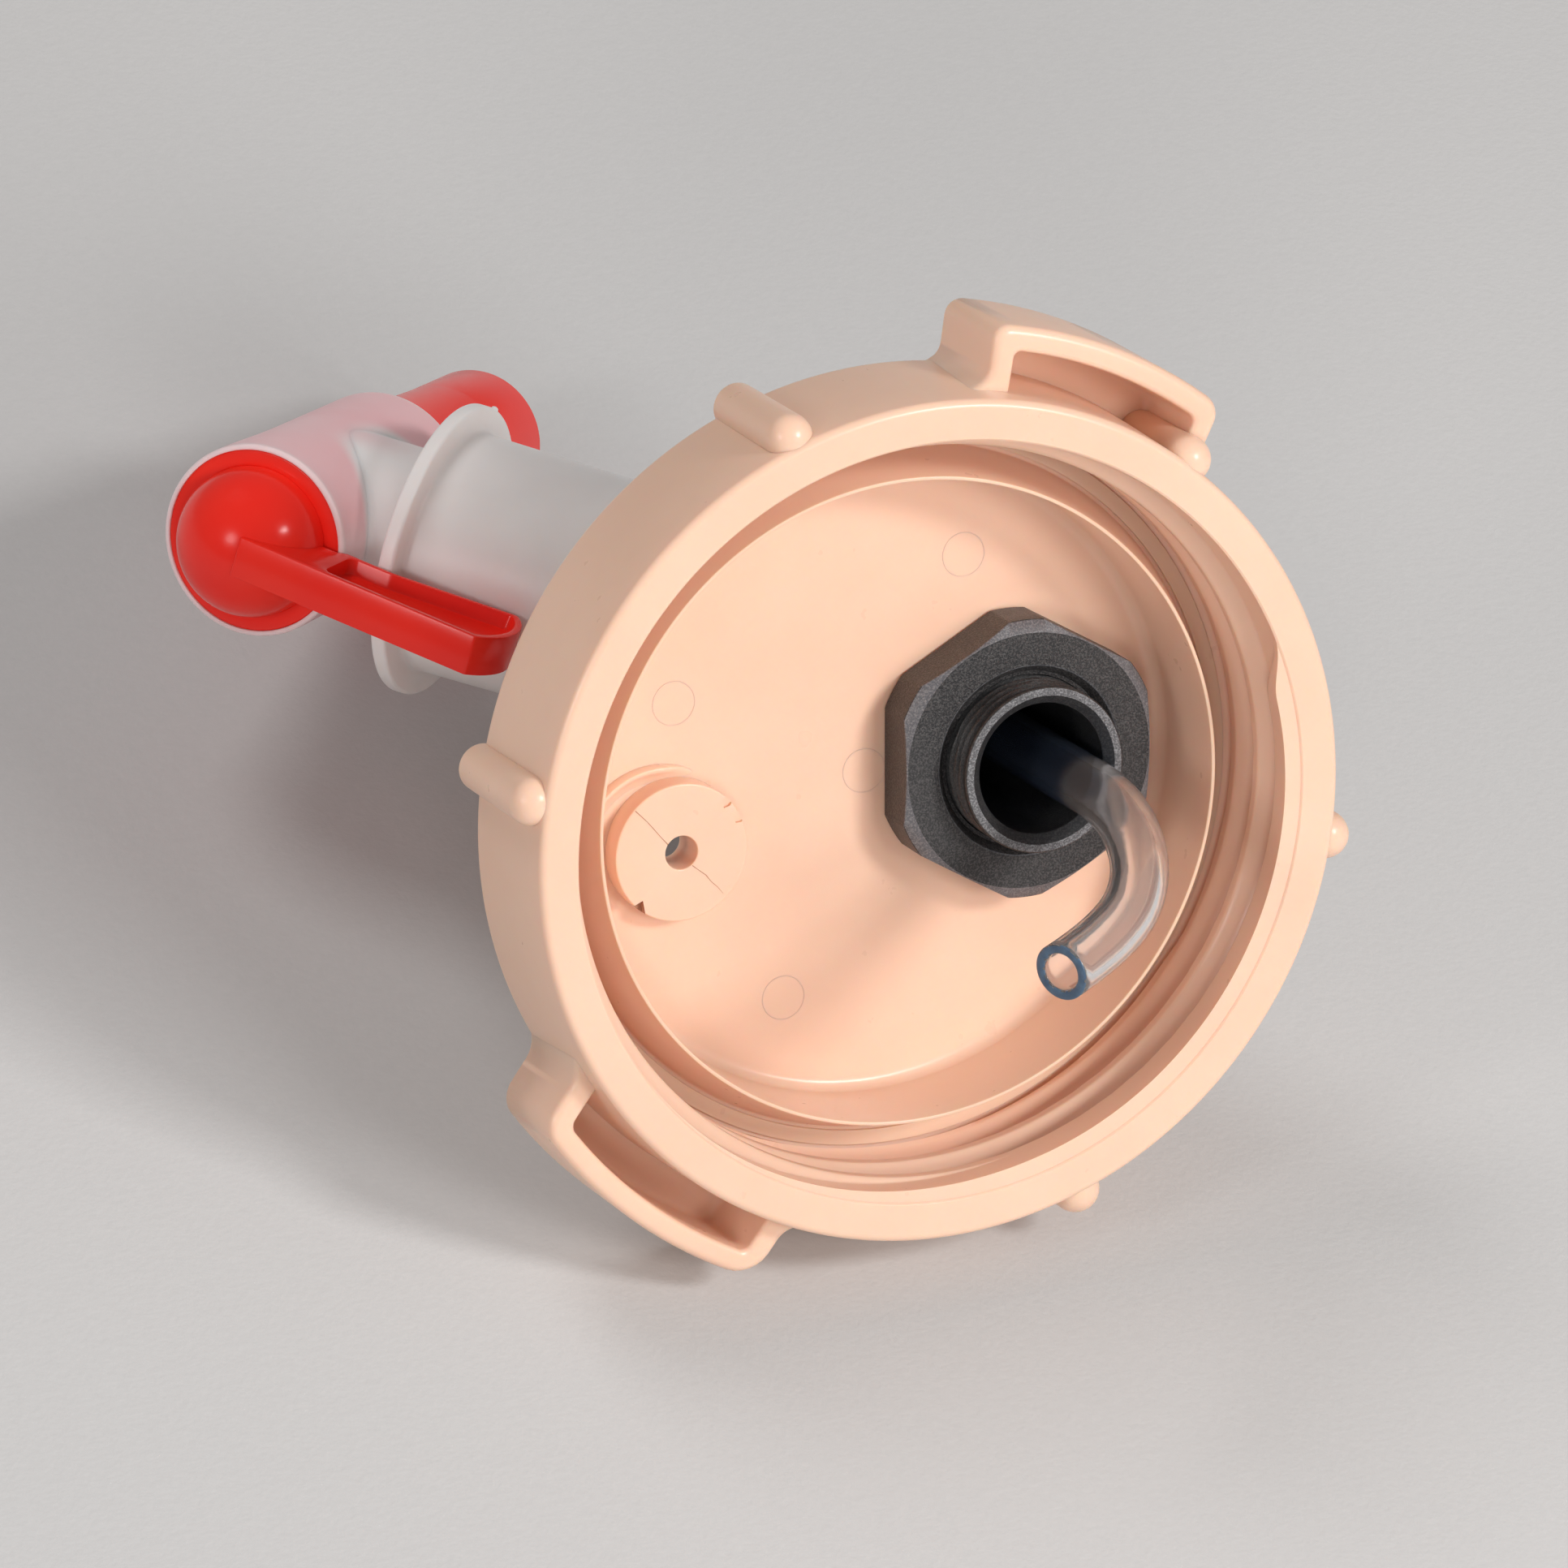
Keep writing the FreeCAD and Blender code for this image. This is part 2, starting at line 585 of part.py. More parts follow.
def make_elbow():
    """45 degree elbow: collar and socket for the nipple, bend, and a grooved spigot that enters the shank."""
    body = new_body("pipe_elbow")
    overlap = "elbow_radius * 0.05"
    socket = new_sketch(body, "socket_outline", "XY_Plane", SOCKET_FLOOR)
    add_circle(socket, "socket_radius")
    pad(body, "socket", socket, "socket_depth + collar_thickness")
    collar = new_sketch(body, "collar_outline", "XY_Plane", COLLAR_FRONT)
    add_circle(collar, "collar_radius")
    pad(body, "collar", collar, "collar_thickness", reverse=True)
    tip = SHANK_END + " + spigot_length"
    sweep_circle(body, "bend", "AdditivePipe", "elbow_radius", SOCKET_FLOOR + " + " + overlap, tip)
    turn_on_outlet(body, "stop", (SHANK_END + " - stop_width", SHANK_END, "0", "shank_end_radius"))
    turn_on_outlet(body, "spigot", (SHANK_END + " - " + overlap, tip, "0", "shank_bore_radius - spigot_gap"))
    groove_floor = "shank_bore_radius - 2 * ring_section_radius"
    for number in range(2):
        middle = ring_middle(number)
        spans = (middle + " - ring_groove_width / 2", middle + " + ring_groove_width / 2", groove_floor,
                 "shank_bore_radius + 1")
        turn_on_outlet(body, "ring_groove_%d" % (number + 1), spans, cut=True)
    mouth = new_sketch(body, "mouth_outline", "XY_Plane", COLLAR_FRONT)
    add_circle(mouth, "pipe_radius + thread_gap")
    pocket(body, "mouth", mouth, "collar_thickness + socket_depth")
    sweep_circle(body, "passage", "SubtractivePipe", "pipe_bore_radius", SOCKET_FLOOR + " + 1", tip + " + 1")
    return body


def make_shank_ring(label):
    """Round seal ring of one of the spigot's grooves."""
    ring = doc.addObject("Part::Torus", label)
    ring.Label = label
    ring.setExpression("Radius1", bound("shank_bore_radius - ring_section_radius"))
    ring.setExpression("Radius2", bound("ring_section_radius"))
    doc.recompute()
    return ring


def ring_place(number):
    """Where a seal ring sits: on the outlet leg, some way behind the shank's end."""
    outlet = elbow_place.multiply(turned(Y_DIR, size("180 - elbow_turn")))
    return outlet.multiply(moved(0, 0, size(ring_middle(number))))


# ---------------------------------------------------------------------------------------------------------
# Tap: modelled about the barrel, X up the neck to the inlet, Z to the domed head
# ---------------------------------------------------------------------------------------------------------
SHOULDER = "flange_offset + flange_thickness + neck_shoulder"


def make_tap_body():
    """One hollow moulding: barrel, neck, flange and tapered shank."""
    body = new_body("tap_body")
    flange_back = "flange_offset + flange_thickness"
    shank_end = flange_back + " + shank_length"
    outside = [
        ("0", "0"),
        ("0", "neck_radius"),
        ("flange_offset", "neck_radius"),
        ("flange_offset", "flange_radius"),
        (flange_back, "flange_radius"),
        (flange_back, "shank_radius"),
        (shank_end, "shank_end_radius"),
        (shank_end, "0"),
    ]
    revolve(body, "shank", "XZ_Plane", outside, "H_Axis")
    rims = [round_edge("flange_radius", "flange_offset", 0), round_edge("flange_radius", flange_back, 0)]
    dress(body, "flange_rounding", "Fillet", lambda edge: any(test(edge) for test in rims),
          "flange_thickness * 0.25")
    corners = [round_edge("neck_radius", "flange_offset", 0), round_edge("shank_radius", flange_back, 0)]
    dress(body, "flange_foot_rounding", "Fillet", lambda edge: any(test(edge) for test in corners),
          "tap_rounding * 2")
    barrel = new_sketch(body, "barrel_outline", "XY_Plane", "-barrel_half")
    add_circle(barrel, "barrel_radius")
    pad(body, "barrel", barrel, "barrel_half * 2")
    far_end = round_edge("barrel_radius", "-barrel_half")
    dress(body, "barrel_end_rounding", "Fillet", far_end, "tap_rounding * 2")

    barrel_bore = [("0", "-barrel_half - 1"), ("barrel_bore_radius", "-barrel_half - 1"),
                   ("barrel_bore_radius", "barrel_half - head_seat_depth"),
                   ("head_seat_radius", "barrel_half - head_seat_depth"), ("head_seat_radius", "barrel_half + 1"),
                   ("0", "barrel_half + 1")]
    revolve(body, "barrel_bore", "XZ_Plane", barrel_bore, "V_Axis", cut=True)
    inlet_bore = [("0", "0"), ("0", "neck_bore_radius"), (SHOULDER, "neck_bore_radius"),
                  (SHOULDER, "shank_bore_radius"), (shank_end + " + 1", "shank_bore_radius"),
                  (shank_end + " + 1", "0")]
    revolve(body, "inlet_bore", "XZ_Plane", inlet_bore, "H_Axis", cut=True)
    return body


def make_plug():
    """The turning plug: head disc, dome with its lever, hollow barrel with a side port, outlet spout."""
    body = new_body("valve_plug")
    plug_radius = "barrel_bore_radius - plug_gap"
    head_radius = "head_seat_radius - head_gap"
    spout_end = "-barrel_half - spout_length"
    bead = "barrel_bore_radius + snap_height"
    outside = [
        ("0", "barrel_half - 0.2"),
        (head_radius, "barrel_half - 0.2"),
        (head_radius, "barrel_half - head_seat_depth + plug_gap"),
        (plug_radius, "barrel_half - head_seat_depth + plug_gap"),
        (plug_radius, "-barrel_half - head_gap"),
        (bead, "-barrel_half - head_gap - snap_height"),
        (bead, "-barrel_half - snap_width"),
        (plug_radius + " - 0.2", "-barrel_half - snap_width * 2"),
        ("spout_end_radius", spout_end + " + spout_straight"),
        ("spout_end_radius", spout_end),
        ("0", spout_end),
    ]
    revolve(body, "turned_body", "XZ_Plane", outside, "V_Axis")
    add_solid(body, "dome", "AdditiveSphere", ("0", "0", "barrel_half - 0.2"), Radius="dome_radius")
    spout_bore = [("0", spout_end + " - 1"), ("spout_bore_radius", spout_end + " - 1"),
                  ("spout_bore_radius", "spout_bore_top - 2"), ("spout_bore_radius - 2", "spout_bore_top"),
                  ("0", "spout_bore_top")]
    revolve(body, "spout_bore", "XZ_Plane", spout_bore, "V_Axis", cut=True)

    # The port looks sideways when the lever lies along the shank, and up the neck after a quarter turn
    port = new_sketch(body, "port_outline", "XZ_Plane")
    port.AttachmentOffset = FreeCAD.Placement(ORIGIN, FreeCAD.Rotation(Y_DIR, size("lever_set")))
    add_circle(port, "port_radius")
    pocket(body, "port", port, "barrel_radius", reverse=True)

    # Lever: a tapered blade from the dome's crown, hollowed on its upper side
    crown = "barrel_half + dome_radius"
    beside = "barrel_radius + lever_clearance"
    blade = [("0", crown), ("lever_reach", crown), ("lever_reach", crown + " - lever_end_width"),
             ("lever_widens_at", crown + " - lever_root_width"), (beside, crown + " - lever_root_width"),
             (beside, "barrel_half + lever_clearance"), ("0", "barrel_half + lever_clearance")]
    outline = new_sketch(body, "lever_outline", "XZ_Plane")
    add_outline(outline, blade)
    pad(body, "lever", outline, "lever_below", other_way="lever_above")

    def corner_at(x, z):
        def chosen(edge):
            middle = edge.CenterOfMass
            upright = is_straight(edge) and edge.BoundBox.YLength > 1 and edge.BoundBox.ZLength < 1e-3
            return upright and abs(middle.x - size(x)) < 1e-3 and abs(middle.z - size(z)) < 1e-3
        return chosen
    dress(body, "lever_near_corner", "Fillet", corner_at("lever_reach", crown), "lever_corner")
    dress(body, "lever_far_corner", "Fillet", corner_at("lever_reach", crown + " - lever_end_width"),
          "lever_far_corner")
    tray = [("tray_start", crown + " - tray_wall"), ("lever_reach - tray_wall", crown + " - tray_wall"),
            ("lever_reach - tray_wall", crown + " - lever_end_width + tray_wall"),
            ("lever_widens_at", crown + " - lever_root_width + tray_wall"),
            ("tray_start", crown + " - lever_root_width + tray_wall")]
    hollow = new_sketch(body, "tray_outline", "XZ_Plane", "-lever_above")
    add_outline(hollow, tray)
    pocket(body, "tray", hollow, "tray_depth", reverse=True)
    return body


def make_holder():
    """Spoked insert in the shank's bore: rim, hub, three spokes and the barb that the vent tube goes on."""
    body = new_body("vent_holder")
    rim = new_sketch(body, "rim_outline", "XY_Plane")
    add_circle(rim, "shank_bore_radius - holder_gap")
    add_circle(rim, "shank_bore_radius - holder_gap - holder_rim")
    pad(body, "rim", rim, "holder_thickness")
    spoke = new_sketch(body, "spoke_outline", "XY_Plane")
    half = "spoke_width / 2"
    end = "shank_bore_radius - holder_rim * 0.8"
    add_outline(spoke, [("0", "-" + half), (end, "-" + half), (end, half), ("0", half)])
    spoke_pad = pad(body, "spoke", spoke, "holder_thickness")
    polar_pattern(body, "spokes", [spoke_pad], 3)
    hub = new_sketch(body, "hub_outline", "XY_Plane")
    add_circle(hub, "hub_radius")
    pad(body, "hub", hub, "holder_thickness")
    barb = new_sketch(body, "barb_outline", "XY_Plane", "holder_thickness")
    add_circle(barb, "tube_bore_radius")
    pad(body, "barb", barb, "barb_length")
    bore = new_sketch(body, "barb_bore_outline", "XY_Plane", "holder_thickness + barb_length")
    add_circle(bore, "barb_bore_radius")
    pocket(body, "barb_bore", bore, "holder_thickness * 2 + barb_length")
    return body


# ---------------------------------------------------------------------------------------------------------
# Vent tube: from the holder's barb through the shank, the elbow and the nipple, then free out of the mouth
# ---------------------------------------------------------------------------------------------------------
ROUTE = [
    (-22.59, 35.04, 37.54),         # the holder's hub
    (0.47, 10.02, 40.91),
    (32.7, -23.8, 44.3),            # the elbow's bend
    (32.4, -58.4, 60.2),
    (33.1, -77.5, 68.7),            # just out of the nipple
    (29.8, -94.5, 70.4),
    (19.3, -108.4, 71.6),
    (5.8, -116.3, 73.6),            # free end
]
ROUTE_MOUTH = Vector(27.45, -62.97, 64.68)      # where the nipple's mouth stands for this route
ARC_SHARE = 0.45                    # share of the shorter run that an arc takes at each corner


def rounded_route(points):
    """The route's straight runs joined by tangent arcs: a wire, and the radius of each arc."""
    edges = []
    radii = []
    last = points[0]
    for before, corner, after in zip(points, points[1:], points[2:]):
        come = (corner - before).normalize()
        leave = (after - corner).normalize()
        setback = ARC_SHARE * min((corner - before).Length, (after - corner).Length)
        half_turn = come.getAngle(leave) / 2
        radius = setback / math.tan(half_turn)
        start = corner - come * setback
        end = corner + leave * setback
        inward = (leave - come).normalize()
        middle = corner + inward * (radius / math.cos(half_turn) - radius)
        edges.append(Part.LineSegment(last, start).toShape())
        edges.append(Part.Arc(start, middle, end).toShape())
        radii.append(radius)
        last = end
    edges.append(Part.LineSegment(last, points[-1]).toShape())
    return Part.Wire(edges), radii


def swept_rod(wire, radius, start, direction):
    ring = Part.Wire(Part.Circle(start, direction, radius).toShape())
    return wire.makePipeShell([ring], True, False)


def make_tube():
    """Soft clear tube along the route; its section and length are compared with the swept volume."""
    points = [Vector(*point) for point in ROUTE]
    wire, radii = rounded_route(points)
    direction = points[1] - points[0]
    outside = swept_rod(wire, size("tube_radius"), points[0], direction)
    tube = doc.addObject("Part::Feature", "vent_tube")
    tube.Label = "vent_tube"
    tube.Shape = outside.cut(swept_rod(wire, size("tube_bore_radius"), points[0], direction))
    section = math.pi * size("tube_radius^2 - tube_bore_radius^2")
    if abs(tube.Shape.Volume / (section * wire.Length) - 1) > 0.01:
        raise RuntimeError("the vent tube's volume does not match its section and length")
    print("vent_tube length %.1f, radii %s" % (wire.Length, ", ".join("%.0f" % radius for radius in radii)))
    return tube


# ---------------------------------------------------------------------------------------------------------
# Everything laid on the floor: Z up, the lid's opening towards -Y
# ---------------------------------------------------------------------------------------------------------
pipe_place = moved(size("pipe_x"), size("pipe_y"), 0)
plug_place = tap_place.multiply(turned(Z_DIR, size("-lever_set")))
holder_place = tap_place.multiply(moved(size(SHOULDER), 0, 0)).multiply(turned(Y_DIR, 90))

PIECES = [
    (make_lid(), FreeCAD.Placement()),
    (make_gasket(), FreeCAD.Placement()),
    (make_nipple(), pipe_place),
    (make_nut(), pipe_place),
    (make_washer(), pipe_place),
    (make_elbow(), elbow_place),
    (make_shank_ring("shank_o_ring_front"), ring_place(0)),
    (make_shank_ring("shank_o_ring_rear"), ring_place(1)),
    (make_tap_body(), tap_place),
    (make_plug(), plug_place),
    (make_holder(), holder_place),
]
lie = turned(Z_DIR, 90).multiply(turned(Y_DIR, size("rest_lean - 90"))).multiply(turned(Z_DIR, size("-rest_spin")))
for piece, place in PIECES:
    piece.Placement = lie.multiply(place)
doc.recompute()

# The lowest point comes down to z = 0, and all but the soft tube is centred over the origin
box = Part.makeCompound([piece.Shape for piece, place in PIECES]).optimalBoundingBox(False)
laid = moved(-box.Center.x, -box.Center.y, -box.ZMin).multiply(lie)
for piece, place in PIECES:
    piece.Placement = laid.multiply(place)
mouth_at = laid.multVec(Vector(size("pipe_x"), size("pipe_y"), size("-pipe_front")))
tube = make_tube()
tube.Placement = FreeCAD.Placement(mouth_at - ROUTE_MOUTH, FreeCAD.Rotation())
doc.recompute()

# ---------------------------------------------------------------------------------------------------------
# Checks and export
# ---------------------------------------------------------------------------------------------------------
for item in doc.Objects:
    if "Invalid" in item.State or "Error" in item.State or "Touched" in item.State:
        raise RuntimeError("%s is not built: %s" % (item.Label, item.State))

os.makedirs("parts", exist_ok=True)
for piece in [piece for piece, place in PIECES] + [tube]:
    shape = piece.Shape
    if shape.isNull() or not shape.isValid() or len(shape.Solids) != 1:
        raise RuntimeError(piece.Label + " is not one valid solid")
    shape.exportStep("parts/%s.step" % piece.Label)
    print("%-20s %9.0f mm3" % (piece.Label, shape.Volume))
print("whole without the tube: %.1f x %.1f x %.1f mm" % (box.XLength, box.YLength, box.ZLength))
print("nipple's mouth stands at", mouth_at)
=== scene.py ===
# %% [markdown]
# # A wide-mouth container lid with a lever tap
#
# The lid lies on the floor on its edge and on the spout of the tap behind it.  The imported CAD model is
# loaded first and gives every place: where the lid stands, which way it faces, where the tap's plug turns.
# The pieces that show are then made again as smooth surfaces, each in the frame of its own part: the lid's
# own frame (z is the screw axis, out of the mouth), the tap's own frame (x along the shank towards the lid,
# z towards the domed head), and so on.  Sizes inside a part are in millimetres and become metres once, when
# the mesh is made.

# %% Load the frame
import json
import math

import bpy
import numpy as np
from mathutils import Matrix, Vector


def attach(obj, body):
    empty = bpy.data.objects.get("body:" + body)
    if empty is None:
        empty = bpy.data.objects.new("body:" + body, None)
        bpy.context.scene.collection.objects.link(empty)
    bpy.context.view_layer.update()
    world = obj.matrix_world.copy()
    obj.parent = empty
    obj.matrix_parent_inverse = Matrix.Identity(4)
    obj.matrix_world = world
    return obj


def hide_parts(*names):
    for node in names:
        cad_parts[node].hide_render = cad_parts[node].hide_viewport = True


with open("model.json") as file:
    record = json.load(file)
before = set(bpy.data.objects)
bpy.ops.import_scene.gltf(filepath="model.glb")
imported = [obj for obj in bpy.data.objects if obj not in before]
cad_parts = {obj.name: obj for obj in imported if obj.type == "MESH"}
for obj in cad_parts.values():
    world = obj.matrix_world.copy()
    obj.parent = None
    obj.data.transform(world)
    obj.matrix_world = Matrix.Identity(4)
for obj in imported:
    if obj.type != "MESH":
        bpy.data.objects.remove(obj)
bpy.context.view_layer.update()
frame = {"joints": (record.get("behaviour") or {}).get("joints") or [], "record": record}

record = frame["record"]
mounts = {mount["name"]: mount for mount in record["mounts"]}
hinge = frame["joints"][0]

# %% [markdown]
# ## Where each part stands
#
# A part's place is a 4 x 4 matrix.  The lid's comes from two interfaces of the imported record: the container's
# neck gives its centre and its axis, and the vent hole, which is off centre, gives the direction that the
# lid is turned to.  The elbow and the tap follow from the lid with the same moves and turns as in the CAD.

# %% Places of the lid, the pipe, the elbow and the tap
MM = 0.001
BOSS_XY = (-25.4, 21.0)             # vent boss in the lid's frame
PIPE_XY = (15.45, -18.25)           # pipe axis in the lid's frame
BEND_DEPTH = 64.0                   # where the nipple's and the tap's axes meet, behind the skirt's front
ELBOW_HEADING = 112.0
ELBOW_TURN = 45.0
TAP_FROM_BEND = 104.6               # from the bend to the barrel's axis
TAP_ROLL = 7.0
LEVER_SET = 6.1


def turned(axis, degrees):
    """A turn about one of the frame's own axes."""
    return Matrix.Rotation(math.radians(degrees), 4, axis)


def moved(x, y, z):
    """A shift in millimetres along the frame's own axes."""
    return Matrix.Translation(Vector((x, y, z)) * MM)


def lid_matrix():
    """The lid's frame: z from the neck mount, x turned so that the vent hole lies in its own direction."""
    origin = Vector(mounts["container_neck"]["pos_m"])
    z_axis = Vector(mounts["container_neck"]["axis"]).normalized()
    to_hole = Vector(mounts["vent_hole"]["pos_m"]) - origin
    to_hole = (to_hole - z_axis * to_hole.dot(z_axis)).normalized()
    heading = math.atan2(BOSS_XY[1], BOSS_XY[0])
    x_axis = Matrix.Rotation(-heading, 3, z_axis) @ to_hole
    y_axis = z_axis.cross(x_axis)
    place = Matrix((x_axis, y_axis, z_axis)).transposed().to_4x4()
    place.translation = origin
    return place


LID = lid_matrix()
PIPE = LID @ moved(PIPE_XY[0], PIPE_XY[1], 0)
ELBOW = PIPE @ moved(0, 0, -BEND_DEPTH) @ turned("Z", ELBOW_HEADING)
OUTLET = ELBOW @ turned("Y", 180 - ELBOW_TURN)                      # z runs along the elbow's outlet leg
TAP = ELBOW @ turned("Y", 90 - ELBOW_TURN) @ moved(TAP_FROM_BEND, 0, 0) @ turned("Z", 180)
TAP = TAP @ turned("X", TAP_ROLL)
PLUG = TAP @ turned("Z", -LEVER_SET)
off = (TAP.translation - Vector(hinge["pos_m"])).length / MM
print("tap's centre is %.3f mm from the hinge, its axis %.3f degrees off" % (
    off, math.degrees(TAP.col[2].to_3d().angle(Vector(hinge["axis"])))))

# %% [markdown]
# ## Camera, light and floor
#
# A long lens from about two metres away keeps the circles nearly free of perspective.  The camera looks down
# at about 40 degrees into the lid's mouth.  Two soft key lamps stand in front and to the right, two weaker
# ones fill from the front and the left, and one reaches the back from above.  Only the right key and the left
# fill are seen in highlights, because a shiny dome would otherwise carry a spot for every lamp.

# %% Camera
CAMERA_AZIMUTH = -28.21            # degrees round from the -Y side, towards -X
CAMERA_ELEVATION = 39.59
CAMERA_ROLL = 8.90
CAMERA_DISTANCE = 1.9652
LENS_MM = 298.1
VIEW_CENTRE = Vector((-0.01777, -0.06455, 0.07279))


def camera_matrix():
    """Looks at the view centre from an azimuth and an elevation, then rolls about the line of sight."""
    azimuth, elevation = math.radians(CAMERA_AZIMUTH), math.radians(CAMERA_ELEVATION)
    back = Vector((math.sin(azimuth) * math.cos(elevation), -math.cos(azimuth) * math.cos(elevation),
                   math.sin(elevation)))
    level = Vector((0, 0, 1)).cross(back).normalized()
    place = Matrix((level, back.cross(level), back)).transposed().to_4x4()
    place.translation = VIEW_CENTRE + back * CAMERA_DISTANCE
    return place @ turned("Z", CAMERA_ROLL)


camera_data = bpy.data.cameras.new("camera")
camera_data.lens = LENS_MM
camera_data.sensor_width = 36
camera = bpy.data.objects.new("camera", camera_data)
camera.matrix_world = camera_matrix()
bpy.context.scene.collection.objects.link(camera)
bpy.context.scene.camera = camera
bpy.context.scene.view_settings.view_transform = "Standard"
print("camera at", [round(v, 3) for v in camera.location])

# %% Shader helpers


def new_material(name):
    """An empty node material: its node tree and its Principled shader."""
    material = bpy.data.materials.new(name)
    material.use_nodes = True
    tree = material.node_tree
    return material, tree, tree.nodes["Principled BSDF"]


def node(tree, kind, links=(), **settings):
    """Adds a node; settings go to its properties or its sockets, links are (socket, output) pairs."""
    made = tree.nodes.new(kind)
    for name, value in settings.items():
        if name in made.bl_rna.properties:
            setattr(made, name, value)
        else:
            made.inputs[name.replace("_", " ")].default_value = value
    for socket, output in links:
        tree.links.new(output, made.inputs[socket])
    return made


def place_of(tree):
    """The point's own place on the object, in metres."""
    return node(tree, "ShaderNodeTexCoord").outputs["Object"]


def noise(tree, where, scale, detail=3.0, rough=0.5):
    """Cloudy values about one half; the scale counts patches in a metre."""
    made = node(tree, "ShaderNodeTexNoise", [("Vector", where)], Scale=scale, Detail=detail, Roughness=rough)
    return made.outputs["Fac"]


def ramp(tree, value, stops):
    """A colour ramp: stops are (position, colour) pairs."""
    made = node(tree, "ShaderNodeValToRGB", [("Fac", value)])
    elements = made.color_ramp.elements
    while len(elements) < len(stops):
        elements.new(0.5)
    for element, (position, colour) in zip(elements, stops):
        element.position = position
        element.color = (*colour, 1)
    return made.outputs["Color"]


def spread(tree, value, low, high):
    """Carries a value between 0 and 1 to another range."""
    return node(tree, "ShaderNodeMapRange", [("Value", value)], To_Min=low, To_Max=high).outputs["Result"]


def stored(tree, name):
    """The number that a mesh stores for each of its points under a name."""
    return node(tree, "ShaderNodeAttribute", attribute_name=name).outputs["Fac"]


def blend(tree, share, first, second):
    """Goes from one colour to another by a share.  Sockets 6 and 7 take the colours; output 2 is the mix."""
    made = node(tree, "ShaderNodeMix", [("Factor", share), (6, first), (7, second)], data_type="RGBA")
    return made.outputs[2]


def set_inputs(tree, shader, values):
    """Gives each named input of a shader a number, a colour, or another node's output."""
    for name, value in values.items():
        if isinstance(value, bpy.types.NodeSocket):
            tree.links.new(value, shader.inputs[name])
        else:
            shader.inputs[name].default_value = value


def bump(tree, shader, height, strength, distance):
    """Lets a shader's surface lean as if the height, times the distance in metres, stood on it."""
    made = node(tree, "ShaderNodeBump", [("Height", height)], Strength=strength, Distance=distance)
    tree.links.new(made.outputs["Normal"], shader.inputs["Normal"])


# %% Floor
FLOOR_COLOUR = (0.60, 0.585, 0.575)
FLOOR_REACH = 3.0


def make_floor():
    """A wide flat sheet under the object."""
    corners = [(x * FLOOR_REACH, y * FLOOR_REACH, 0) for x, y in ((-1, -1), (1, -1), (1, 1), (-1, 1))]
    mesh = bpy.data.meshes.new("floor")
    mesh.from_pydata(corners, [], [(0, 1, 2, 3)])
    floor = bpy.data.objects.new("floor", mesh)
    bpy.context.scene.collection.objects.link(floor)
    material, tree, shader = new_material("floor_paper")
    where = place_of(tree)
    shade = ramp(tree, noise(tree, where, 420.0, 4.0, 0.7),
                 [(0.3, tuple(v * 0.97 for v in FLOOR_COLOUR)), (0.7, FLOOR_COLOUR)])
    set_inputs(tree, shader, {"Base Color": shade, "Roughness": 0.9, "Specular IOR Level": 0.2})
    bump(tree, shader, noise(tree, where, 900.0), 0.15, 0.0005)
    mesh.materials.append(material)
    print("floor of %.0f by %.0f metres" % (2 * FLOOR_REACH, 2 * FLOOR_REACH))


make_floor()

# %% Lamps and world
WORLD_STRENGTH = 0.22
LAMP_TARGET = Vector((0, -0.02, 0.06))
LAMPS = {                           # name: place, side of the square, watts, whether highlights show it
    "key_right": ((0.82, -1.17, 1.27), 0.36, 16.0, True),
    "key_front": ((0.53, -1.60, 0.92), 0.5, 12.0, False),
    "fill_front": ((-0.75, -1.75, 0.85), 0.5, 8.0, False),
    "fill_left": ((-1.45, -0.57, 0.85), 0.35, 3.5, True),
    "top_back": ((-0.5, 0.9, 1.5), 0.7, 9.0, False)}


def add_lamp(name, place, size, power, in_highlights):
    """A square soft lamp aimed at the middle of the object."""
    data = bpy.data.lights.new(name, "AREA")
    data.size = size
    data.energy = power
    lamp = bpy.data.objects.new(name, data)
    lamp.visible_glossy = in_highlights
    lamp.location = place
    lamp.rotation_euler = (LAMP_TARGET - Vector(place)).to_track_quat("-Z", "Y").to_euler()
    bpy.context.scene.collection.objects.link(lamp)


def make_world(strength):
    """An even white surround, which fills the shadows."""
    world = bpy.data.worlds.new("studio")
    world.use_nodes = True
    back = world.node_tree.nodes["Background"]
    back.inputs["Color"].default_value = (1, 1, 1, 1)
    back.inputs["Strength"].default_value = strength
    bpy.context.scene.world = world


make_world(WORLD_STRENGTH)
for name, (place, size, power, in_highlights) in LAMPS.items():
    add_lamp(name, place, size, power, in_highlights)
print("lamps:", ", ".join(LAMPS))

# %% [markdown]
# ## Surfaces from formulas
#
# Every new piece is a grid of points worked out as one array: a profile turned about an axis, or a section
# carried along a path.  The grid is closed into a mesh, points that fall together at a pole or a seam are
# joined, and the faces are turned outwards by the sign of the volume that they enclose.

# %% From a grid to a closed mesh


def quads_of(rows, columns, wrap_rows):
    """Corner numbers of a grid's faces; the columns always close on themselves."""
    number = np.arange(rows * columns).reshape(rows, columns)
    number = np.concatenate([number, number[:, :1]], axis=1)
    if wrap_rows:
        number = np.concatenate([number, number[:1]])
    parts = [number[:-1, :-1], number[1:, :-1], number[1:, 1:], number[:-1, 1:]]
    return np.stack(parts, -1).reshape(-1, 4)


